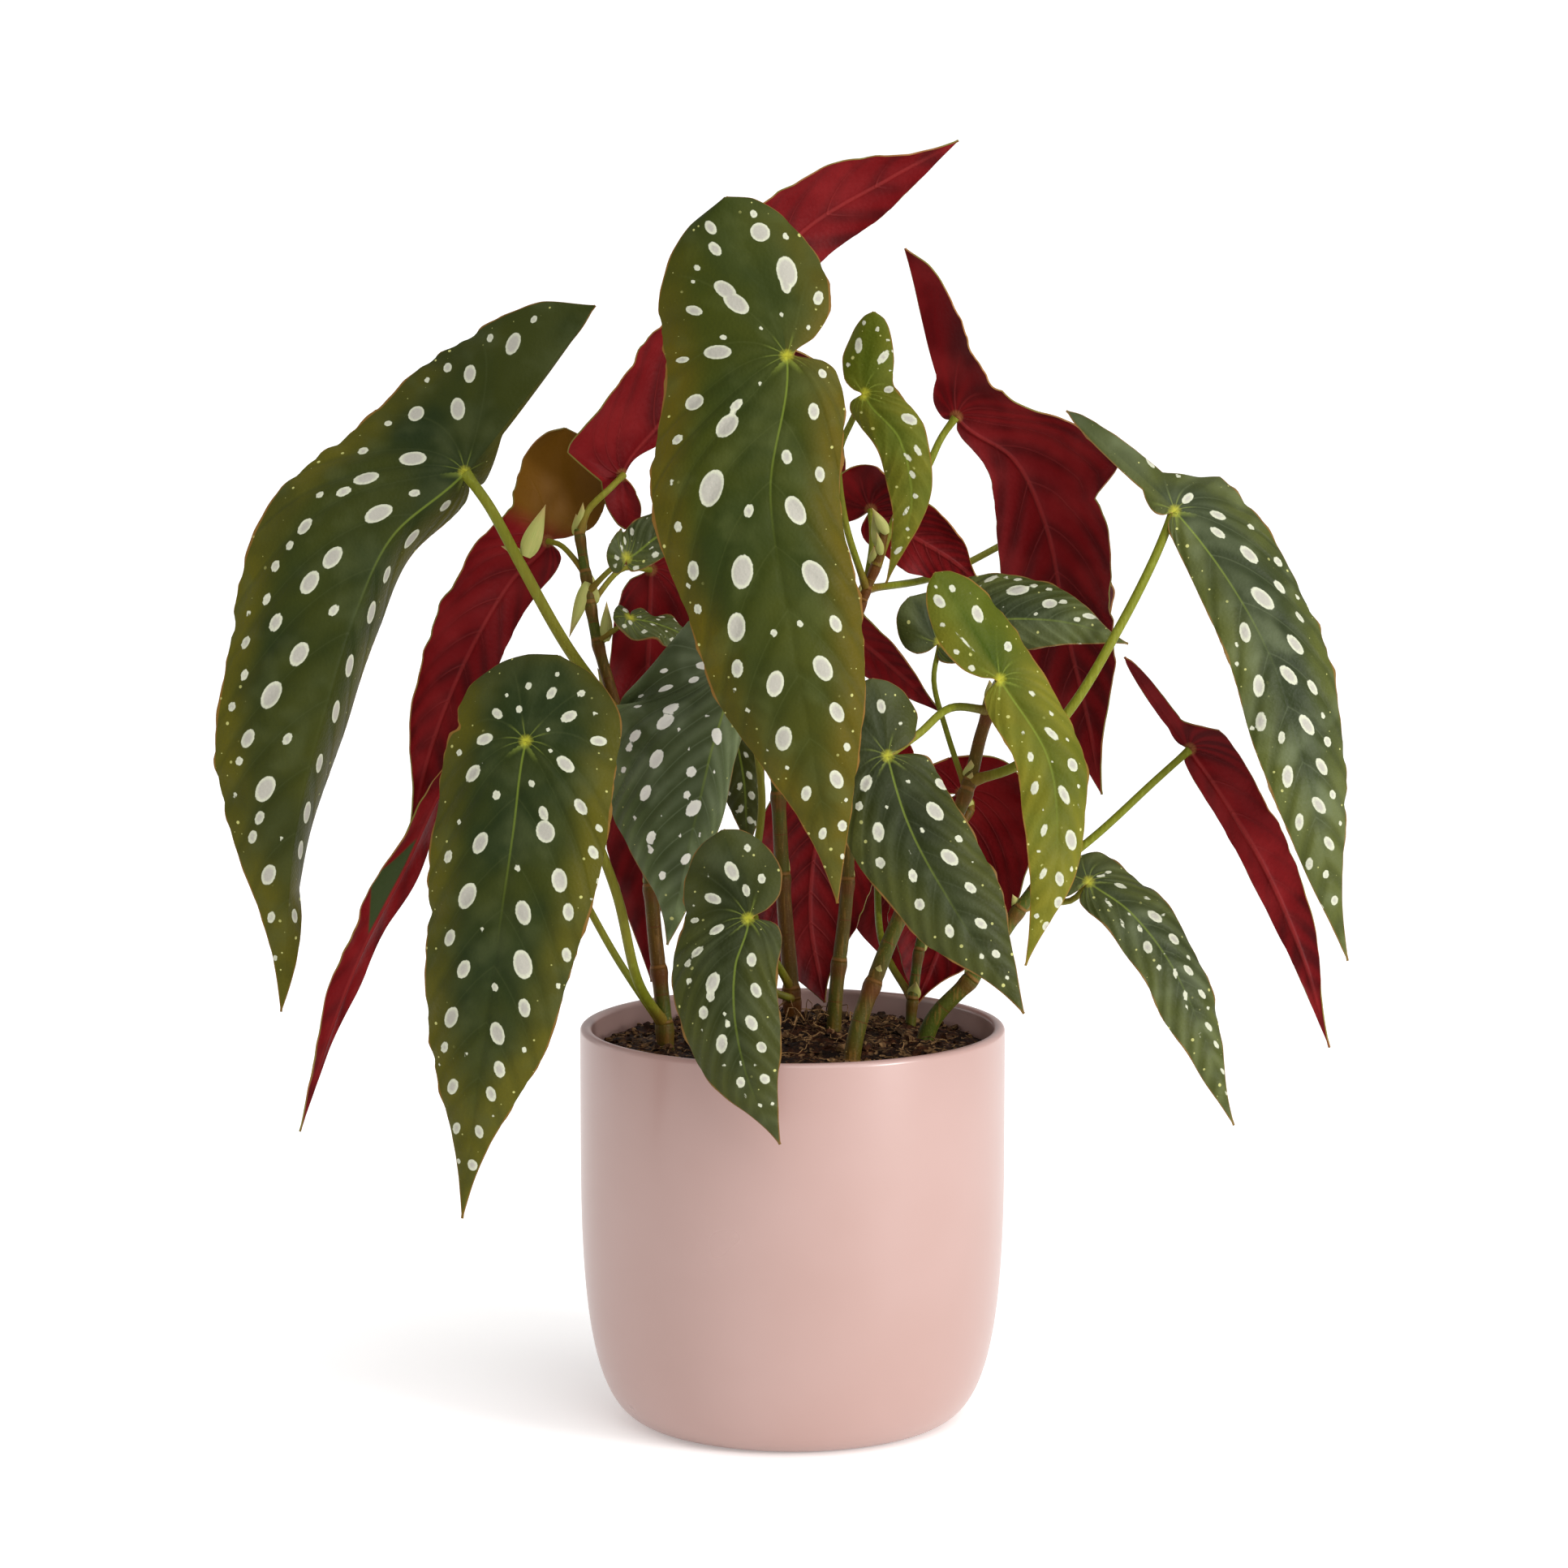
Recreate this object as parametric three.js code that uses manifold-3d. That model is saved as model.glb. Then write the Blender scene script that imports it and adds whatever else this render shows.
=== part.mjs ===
// Potted polka dot begonia.
//
// Millimetres, +Z up. The origin is the centre of the pot's flat base, and -Y is the front.
// A straight-sided planter holds a ball of soil. Six canes stand in plain holes in the soil, each
// grown together with the leaf stalks that it carries. Every leaf blade is one thin closed solid.

import * as THREE from "three";
import { mergeVertices } from "three/addons/utils/BufferGeometryUtils.js";
import Module from "manifold-3d";

const wasm = await Module();
wasm.setup();

// ---------------------------------------------------------------- driving dimensions

const POT_HEIGHT = 131.4;
const POT_RADIUS = 70;
const POT_BASE_RADIUS = 47;
const POT_WALL = 3.8;
const POT_FLOOR = 6;
const BELLY_HEIGHT = 85; // the wall is straight above this height
const BELLY_TURN_RADIUS = 63.5; // the belly's curve leaves the base towards this radius
const BELLY_TURN_HEIGHT = 26; // and comes up to the wall from this height
const BELLY_STEPS = 10;
const INNER_STEPS = 7;
const FLOOR_CORNER = 5; // slope between the inner wall and the flat floor
const RIM_ROUND = 1.6;
const POT_SIDES = 36;

const GAP = 0.3; // clearance that touching pieces keep
const SOIL_TOP = 121.5;
const SOIL_MOUND = 4;
const SOIL_RELIEF = 1.3;
const SOIL_RINGS = 8;
const SOIL_SIDES = 30;
const CANE_SIDES = 8;
const STALK_SIDES = 5;
const STALK_STEP = 13;
const STALK_TAPER = 0.85; // a stalk's radius at its blade, as a part of that at the cane

const BLADE_THICKNESS = 0.8;
const LEAST_HALF_WIDTH = 0.45;
const EDGE_WAVE = 0.03; // waviness of the blade's outline
const BEND_REACH = 0.17; // part of the spine, each way, that a turn of the blade is spread over
const SPINE_SAMPLES = 40; // between two points of a spine
const HALF_PHASE = 0.4; // turns that the narrow half's waves are ahead of the wide half's
const LOBE_EASE = 4; // the back lobe has its own width from a quarter of its length on
const NECK_REACH = 0.22;
const FOLD_EASE = 5; // the fold flattens over the last fifth before each end of the blade

// ---------------------------------------------------------------- materials

function plain(color, roughness) {
  return new THREE.MeshStandardMaterial({ color, roughness, metalness: 0 });
}

const potMaterial = plain(0xd9b3a8, 0.35);
const soilMaterial = plain(0x3a2820, 0.95);
const caneMaterial = plain(0x6f7d35, 0.5);
const leafMaterial = plain(0x4a5428, 0.45);
const youngLeafMaterial = plain(0x6f8a34, 0.45);

// ---------------------------------------------------------------- solids

// The closed solid of a geometry, with the vertices that its faces share merged.
function solid(geometry) {
  const bare = geometry.clone();
  bare.deleteAttribute("normal");
  bare.deleteAttribute("uv");
  const merged = mergeVertices(bare, 1e-4);
  return new wasm.Manifold(new wasm.Mesh({
    numProp: 3,
    vertProperties: new Float32Array(merged.attributes.position.array),
    triVerts: new Uint32Array(merged.index.array),
  }));
}

// A geometry with the same faces as a solid.
function geometryOf(body) {
  const mesh = body.getMesh();
  const geometry = new THREE.BufferGeometry();
  geometry.setAttribute("position", new THREE.BufferAttribute(mesh.vertProperties, 3));
  geometry.setIndex(new THREE.BufferAttribute(mesh.triVerts, 1));
  geometry.computeVertexNormals();
  return geometry;
}

// The largest of the separate lumps that a cut leaves.
function largestLump(body) {
  let best = null;
  for (const lump of body.decompose()) {
    if (best === null || lump.volume() > best.volume()) {
      best = lump;
    }
  }
  return best;
}

// ---------------------------------------------------------------- pot and soil

// Outside of the pot from its flat base to the straight part of its wall: radius, height.
const belly = new THREE.CubicBezierCurve(
  new THREE.Vector2(POT_BASE_RADIUS, 0),
  new THREE.Vector2(BELLY_TURN_RADIUS, 0),
  new THREE.Vector2(POT_RADIUS, BELLY_TURN_HEIGHT),
  new THREE.Vector2(POT_RADIUS, BELLY_HEIGHT),
);

// Lumps of the soil's top: turn per millimetre along x and y, phase and height.
const SOIL_WAVES = [
  [0.31, 0.27, 0.7, 0.5],
  [0.31, -0.27, 1.9, 0.5],
  [0.17, -0.23, 0, 0.6],
];

// The belly curve moved inwards, from the top down to the floor.
function innerWall(inset) {
  const points = [];
  for (let i = INNER_STEPS; i >= 0; i -= 1) {
    const at = belly.getPoint(i / INNER_STEPS);
    const out = belly.getTangent(i / INNER_STEPS);
    const point = new THREE.Vector2(at.x - out.y * inset, at.y + out.x * inset);
    if (point.y > POT_FLOOR + 1) {
      points.push(point);
    }
  }
  return points;
}

function buildPot() {
  const profile = [new THREE.Vector2(0, 0)];
  profile.push(...belly.getPoints(BELLY_STEPS));
  const rimCentre = POT_RADIUS - POT_WALL / 2;
  const rimHalf = POT_WALL / 2;
  for (const angle of [0, 45, 90, 135, 180]) {
    const turn = THREE.MathUtils.degToRad(angle);
    const x = rimCentre + rimHalf * Math.cos(turn);
    const y = POT_HEIGHT - RIM_ROUND + RIM_ROUND * Math.sin(turn);
    profile.push(new THREE.Vector2(x, y));
  }
  const inner = innerWall(POT_WALL);
  profile.push(...inner);
  profile.push(new THREE.Vector2(inner.at(-1).x - FLOOR_CORNER, POT_FLOOR));
  profile.push(new THREE.Vector2(0, POT_FLOOR));
  const geometry = new THREE.LatheGeometry(profile, POT_SIDES);
  geometry.rotateX(Math.PI / 2);
  return geometryOf(solid(geometry));
}

// Height of the soil's lumpy top above its flat level.
function soilRelief(x, y) {
  const radius = Math.hypot(x, y) / POT_RADIUS;
  const mound = SOIL_MOUND * (1 - radius * radius);
  let lumps = 0;
  for (const [alongX, alongY, phase, height] of SOIL_WAVES) {
    lumps += height * Math.sin(alongX * x + alongY * y + phase);
  }
  return mound + SOIL_RELIEF * lumps * (1 - radius / 2);
}

function buildSoil(holes) {
  const inner = innerWall(POT_WALL + GAP);
  const profile = [new THREE.Vector2(0, POT_FLOOR + GAP)];
  profile.push(new THREE.Vector2(inner.at(-1).x - FLOOR_CORNER, POT_FLOOR + GAP));
  profile.push(...inner.slice().reverse());
  for (let i = SOIL_RINGS; i >= 0; i -= 1) {
    profile.push(new THREE.Vector2((inner[0].x * i) / SOIL_RINGS, SOIL_TOP));
  }
  const geometry = new THREE.LatheGeometry(profile, SOIL_SIDES);
  geometry.rotateX(Math.PI / 2);
  const position = geometry.attributes.position;
  for (let i = 0; i < position.count; i += 1) {
    if (position.getZ(i) > SOIL_TOP - 0.01) {
      position.setZ(i, SOIL_TOP + soilRelief(position.getX(i), position.getY(i)));
    }
  }
  let body = solid(geometry);
  for (const hole of holes) {
    body = body.subtract(hole);
  }
  return geometryOf(largestLump(body));
}

// ---------------------------------------------------------------- leaf blades

// Half width of a blade against the place along its midrib: -1 is the end of the back lobe, 0 the
// stalk and 1 the tip. The wide half runs past the stalk, and the narrow one has the deep notch.
const WIDE_HALF = [
  [-1, 0], [-0.93, 0.37], [-0.75, 0.66], [-0.5, 0.87], [-0.25, 0.95], [0, 0.98], [0.1, 1],
  [0.29, 0.94], [0.46, 0.79], [0.6, 0.68], [0.72, 0.44], [0.83, 0.2], [0.92, 0.07], [1, 0],
];
const NARROW_HALF = [
  [-1, 0], [-0.93, 0.4], [-0.75, 0.75], [-0.45, 0.95], [-0.25, 0.82], [-0.1, 0.45], [-0.03, 0.14],
  [0, 0.1], [0.012, 0.5], [0.03, 0.68], [0.1, 0.85], [0.29, 0.97], [0.46, 1], [0.6, 0.91],
  [0.72, 0.66], [0.83, 0.42], [0.92, 0.19], [1, 0],
];
const FINE_ROWS = [
  -1, -0.93, -0.75, -0.5, -0.25, -0.1, -0.03, 0, 0.012, 0.04, 0.12, 0.22, 0.32, 0.42, 0.52, 0.6,
  0.68, 0.76, 0.84, 0.92, 1,
];
const PLAIN_ROWS = [
  -1, -0.9, -0.6, -0.25, -0.06, 0, 0.03, 0.15, 0.3, 0.45, 0.6, 0.72, 0.84, 0.93, 1,
];
const SMALL_ROWS = [-1, -0.85, -0.4, -0.06, 0, 0.04, 0.2, 0.4, 0.6, 0.8, 0.93, 1];

// Value at x of the smooth monotone curve through the points.
function smoothThrough(points, x) {
  let i = 0;
  while (i < points.length - 2 && x > points[i + 1][0]) {
    i += 1;
  }
  const slopeOf = (k) => (points[k + 1][1] - points[k][1]) / (points[k + 1][0] - points[k][0]);
  const tangentAt = (k) => {
    if (k === 0) {
      return slopeOf(0);
    }
    if (k === points.length - 1) {
      return slopeOf(k - 1);
    }
    const before = slopeOf(k - 1);
    const after = slopeOf(k);
    return before * after <= 0 ? 0 : (2 * before * after) / (before + after);
  };
  const span = points[i + 1][0] - points[i][0];
  const t = THREE.MathUtils.clamp((x - points[i][0]) / span, 0, 1);
  const t2 = t * t;
  const t3 = t2 * t;
  return (
    (2 * t3 - 3 * t2 + 1) * points[i][1] +
    (t3 - 2 * t2 + t) * span * tangentAt(i) +
    (3 * t2 - 2 * t3) * points[i + 1][1] +
    (t3 - t2) * span * tangentAt(i + 1)
  );
}

const LEAF_DEFAULTS = {
  wideSide: 1,
  tipFace: null,
  fold: [6, 6],
  curl: [-38, -34],
  wave: 1.2,
  waves: 4,
  phase: 0,
  lobe: [1, 1], // width of the back lobe, wide half first
  notch: 1, // depth of the notch at the stalk
  neck: [0, 0], // how much narrower each half is beside the stalk
  taper: 1, // above 1, the blade stays broad nearer to the tip
  lobeTaper: 1, // below 1, the back lobe narrows earlier towards its end
  rows: PLAIN_ROWS,
  columns: 4,
  material: leafMaterial,
};

// The blade's middle surface. The spine runs from the end of the back lobe, through the stalk, its
// second point, to the tip. Face is the way the green side looks.
class Blade {
  constructor(leaf) {
    Object.assign(this, LEAF_DEFAULTS, leaf);
    const points = this.spine.map((p) => new THREE.Vector3(...p));
    this.curve = new THREE.CatmullRomCurve3(points, false, "centripetal");
    this.curve.arcLengthDivisions = SPINE_SAMPLES * (points.length - 1);
    const lengths = this.curve.getLengths();
    this.stalkAt = lengths[SPINE_SAMPLES] / lengths.at(-1);
    this.faceAtStalk = new THREE.Vector3(...this.face).normalize();
    this.faceAtTip = new THREE.Vector3(...(this.tipFace ?? this.face)).normalize();
  }

  // Part of the spine's length that lies behind a place along it.
  lengthAt(along) {
    return along < 0 ? this.stalkAt * (1 + along) : this.stalkAt + (1 - this.stalkAt) * along;
  }

  // Point on the midrib, the way across to the left of the green side, and the green side's normal.
  frameAt(along) {
    const u = this.lengthAt(along);
    const centre = this.curve.getPointAt(u);
    const ahead = this.curve.getPointAt(Math.min(u + BEND_REACH, 1));
    const behind = this.curve.getPointAt(Math.max(u - BEND_REACH, 0));
    const tangent = ahead.sub(behind).normalize();
    const normal = this.faceAtStalk.clone().lerp(this.faceAtTip, Math.max(along, 0));
    normal.addScaledVector(tangent, -normal.dot(tangent)).normalize();
    const across = tangent.clone().cross(normal);
    return { centre, across, normal };
  }

  // Half width at a place along, as a part of the widest: half is 0 for the wide one.
  shapeAt(along, half) {
    const place = along > 0 ? along ** this.taper : -((-along) ** this.lobeTaper);
    const whole = smoothThrough(WIDE_HALF, place);
    const notched = smoothThrough(NARROW_HALF, place);
    const shape = half === 0 ? whole : THREE.MathUtils.lerp(whole, notched, this.notch);
    const inLobe = THREE.MathUtils.clamp(-LOBE_EASE * along, 0, 1);
    const lobe = THREE.MathUtils.lerp(1, this.lobe[half], inLobe);
    const neck = 1 - this.neck[half] * Math.exp(-((along / NECK_REACH) ** 2));
    return shape * lobe * neck;
  }

  // Point of the middle surface: along as above, and across from -1 to 1.
  pointAt(along, across) {
    const { centre, across: side, normal } = this.frameAt(along);
    const sign = Math.sign(across) || 1;
    const wide = sign === this.wideSide;
    const out = Math.abs(across);
    const half = wide ? 0 : 1;
    const shape = this.shapeAt(along, half);
    const full = Math.max((wide ? this.wide : this.narrow) * shape, LEAST_HALF_WIDTH);
    const turns = this.waves * this.lengthAt(along) + this.phase + (wide ? 0 : HALF_PHASE);
    const ripple = Math.sin(2 * Math.PI * turns);
    const reach = full * out * (1 + EDGE_WAVE * ripple * out);
    const fold = this.fold[half] * Math.min(FOLD_EASE * (1 - Math.abs(along)), 1);
    const bend = THREE.MathUtils.degToRad(fold + (this.curl[half] * out) / 2);
    const lift = this.wave * ripple * out * out * shape;
    return centre
      .clone()
      .addScaledVector(side, sign * reach * Math.cos(bend))
      .addScaledVector(normal, reach * Math.sin(bend) + lift);
  }

  // Closed solid of the blade at a thickness. Both faces are split into triangles alike.
  geometry(thickness) {
    const rows = this.rows;
    const columns = this.columns;
    const grid = [];
    for (const along of rows) {
      for (let j = 0; j <= columns; j += 1) {
        grid.push(this.pointAt(along, -1 + (2 * j) / columns));
      }
    }
    const at = (i, j) => i * (columns + 1) + j;
    const cells = [];
    for (let i = 0; i < rows.length - 1; i += 1) {
      for (let j = 0; j < columns; j += 1) {
        const a = at(i, j);
        const b = at(i, j + 1);
        const c = at(i + 1, j + 1);
        const d = at(i + 1, j);
        if (j < columns / 2) {
          cells.push([a, d, b], [b, d, c]);
        } else {
          cells.push([a, d, c], [a, c, b]);
        }
      }
    }
    const normals = grid.map(() => new THREE.Vector3());
    for (const [a, b, c] of cells) {
      const ab = grid[b].clone().sub(grid[a]);
      const ac = grid[c].clone().sub(grid[a]);
      const facing = ab.cross(ac);
      normals[a].add(facing);
      normals[b].add(facing);
      normals[c].add(facing);
    }
    const count = grid.length;
    const positions = [];
    for (const way of [1, -1]) {
      grid.forEach((point, k) => {
        const normal = normals[k].clone().normalize();
        const moved = point.clone().addScaledVector(normal, (way * thickness) / 2);
        positions.push(moved.x, moved.y, moved.z);
      });
    }
    const faces = [];
    for (const [a, b, c] of cells) {
      faces.push(a, b, c, count + a, count + c, count + b);
    }
    const rim = [];
    const last = rows.length - 1;
    for (let j = 0; j < columns; j += 1) {
      rim.push([at(0, j + 1), at(0, j)], [at(last, j), at(last, j + 1)]);
    }
    for (let i = 0; i < last; i += 1) {
      rim.push([at(i, 0), at(i + 1, 0)], [at(i + 1, columns), at(i, columns)]);
    }
    for (const [a, b] of rim) {
      faces.push(b, a, count + a, b, count + a, count + b);
    }
    const geometry = new THREE.BufferGeometry();
    geometry.setAttribute("position", new THREE.Float32BufferAttribute(positions, 3));
    geometry.setIndex(faces);
    return geometry;
  }
}

// ---------------------------------------------------------------- canes and leaf stalks

function curveThrough(points) {
  const vectors = points.map((p) => (p.isVector3 ? p : new THREE.Vector3(...p)));
  return new THREE.CatmullRomCurve3(vectors, false, "centripetal");
}

// Round tube along a curve, tapered from the start radius to the end radius.
function tube(curve, startRadius, endRadius, sides, steps) {
  const section = new THREE.Shape();
  for (let i = 0; i < sides; i += 1) {
    const turn = (2 * Math.PI * i) / sides;
    const x = startRadius * Math.cos(turn);
    const y = startRadius * Math.sin(turn);
    if (i === 0) {
      section.moveTo(x, y);
    } else {
      section.lineTo(x, y);
    }
  }
  section.closePath();
  const settings = { steps, extrudePath: curve, bevelEnabled: false };
  const geometry = new THREE.ExtrudeGeometry(section, settings);
  const centres = curve.getSpacedPoints(steps);
  const position = geometry.attributes.position;
  const point = new THREE.Vector3();
  for (let i = 0; i < position.count; i += 1) {
    point.fromBufferAttribute(position, i);
    let nearest = 0;
    centres.forEach((centre, k) => {
      if (centre.distanceToSquared(point) < centres[nearest].distanceToSquared(point)) {
        nearest = k;
      }
    });
    const radius = startRadius + ((endRadius - startRadius) * nearest) / steps;
    point.sub(centres[nearest]).multiplyScalar(radius / startRadius).add(centres[nearest]);
    position.setXYZ(i, point.x, point.y, point.z);
  }
  return solid(geometry);
}

// Papery scale beside a stalk: half its width, length and thickness, and how far its middle is
// from the joint, as parts of its length.
const SCALE_WIDTH = 0.22;
const SCALE_LENGTH = 0.5;
const SCALE_THICKNESS = 0.12;
const SCALE_MIDDLE = 0.42;

function stipule(centre, lean, length) {
  const scale = new THREE.SphereGeometry(1, 6, 5);
  scale.scale(length * SCALE_WIDTH, length * SCALE_LENGTH, length * SCALE_THICKNESS);
  scale.translate(0, length * SCALE_MIDDLE, 0);
  const way = new THREE.Vector3(...lean).normalize();
  scale.applyQuaternion(new THREE.Quaternion().setFromUnitVectors(new THREE.Vector3(0, 1, 0), way));
  scale.translate(centre.x, centre.y, centre.z);
  return solid(scale);
}

// Where a stalk stops short of its blade, behind it or to the side that the leaf names: square on it
// stops at the gap, and one that comes in flat stops its own radius further off.
function stalkEnd(blade, lastPoint, radius) {
  const { centre, normal } = blade.frameAt(0);
  const off = blade.stalkSide ? new THREE.Vector3(...blade.stalkSide).normalize() : normal.negate();
  const way = centre.clone().sub(lastPoint).normalize();
  const flatness = Math.sqrt(1 - way.dot(off) ** 2);
  return centre.addScaledVector(off, BLADE_THICKNESS / 2 + GAP + radius * flatness);
}

// A cane with the stalks and scales that grow from it.
function buildCane(cane, blades) {
  const curve = curveThrough(cane.path);
  let body = tube(curve, cane.radius[0], cane.radius[1], CANE_SIDES, cane.steps);
  for (const leaf of leaves.filter((one) => one.cane === cane.name)) {
    const start = curve.getPointAt(leaf.joint);
    const lastPoint = leaf.stalk.length > 0 ? new THREE.Vector3(...leaf.stalk.at(-1)) : start;
    const end = stalkEnd(blades.get(leaf.name), lastPoint, leaf.stalkRadius);
    const path = curveThrough([start, ...leaf.stalk, end]);
    const steps = Math.max(3, Math.round(path.getLength() / STALK_STEP));
    const endRadius = leaf.stalkRadius * STALK_TAPER;
    body = body.add(tube(path, leaf.stalkRadius, endRadius, STALK_SIDES, steps));
  }
  for (const scale of cane.stipules ?? []) {
    body = body.add(stipule(curve.getPointAt(scale.joint), scale.lean, scale.length));
  }
  return body;
}

// The hole that a cane stands in: the cane itself, wider and deeper by the gap.
function caneHole(cane) {
  const curve = curveThrough(cane.path);
  const [footRadius, topRadius] = cane.radius;
  const around = tube(curve, footRadius + GAP, topRadius + GAP, CANE_SIDES, cane.steps);
  const foot = curve.getPointAt(0);
  const below = foot.clone().addScaledVector(curve.getTangentAt(0), -GAP);
  const above = foot.clone().addScaledVector(curve.getTangentAt(0), 1);
  const end = tube(new THREE.LineCurve3(below, above), footRadius, footRadius, CANE_SIDES, 1);
  return around.add(end);
}

const canes = [
  {
    name: "cane_left",
    path: [
      [-40, -12, 90], [-42, -12, 134], [-45, -10, 163], [-49, -6, 203], [-58, 2, 237],
      [-64, 6, 258], [-68, 10, 281], [-70, 12, 294],
    ],
    radius: [2.9, 1.6],
    steps: 13,
    stipules: [
      { joint: 0.72, lean: [-0.5, 0.2, 1], length: 12 },
      { joint: 0.99, lean: [0.1, -0.2, 1], length: 10 },
    ],
  },
  {
    name: "cane_centre",
    path: [[1, 14, 90], [0, 14, 134], [-3, 14, 173], [-5, 14, 211], [-7, 12, 241], [-6, 8, 258]],
    radius: [3, 2],
    steps: 10,
  },
  {
    name: "cane_mid",
    path: [
      [13, 2, 90], [14, 2, 137], [18, 4, 177], [18, 6, 215], [18, 8, 241], [22, 10, 268],
      [28, 10, 284], [30, 9, 294],
    ],
    radius: [2.7, 1.5],
    steps: 13,
    stipules: [{ joint: 0.97, lean: [-0.2, -0.3, 1], length: 12 }],
  },
  {
    name: "cane_front",
    path: [
      [17, -34, 90], [20, -34, 132], [27, -30, 153], [36, -26, 174], [50, -20, 197],
      [57, -16, 213], [61, -14, 229], [65, -18, 242],
    ],
    radius: [3, 2],
    steps: 11,
  },
  {
    name: "cane_right",
    path: [[41, 0, 90], [45, 0, 130], [60, 0, 148], [73, 2, 167], [84, 4, 182]],
    radius: [3.4, 2],
    steps: 8,
  },
  {
    name: "cane_back",
    path: [[38, 22, 90], [40, 22, 134], [44, 26, 160], [52, 32, 185], [60, 38, 198]],
    radius: [2, 1.4],
    steps: 8,
  },
];

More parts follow.
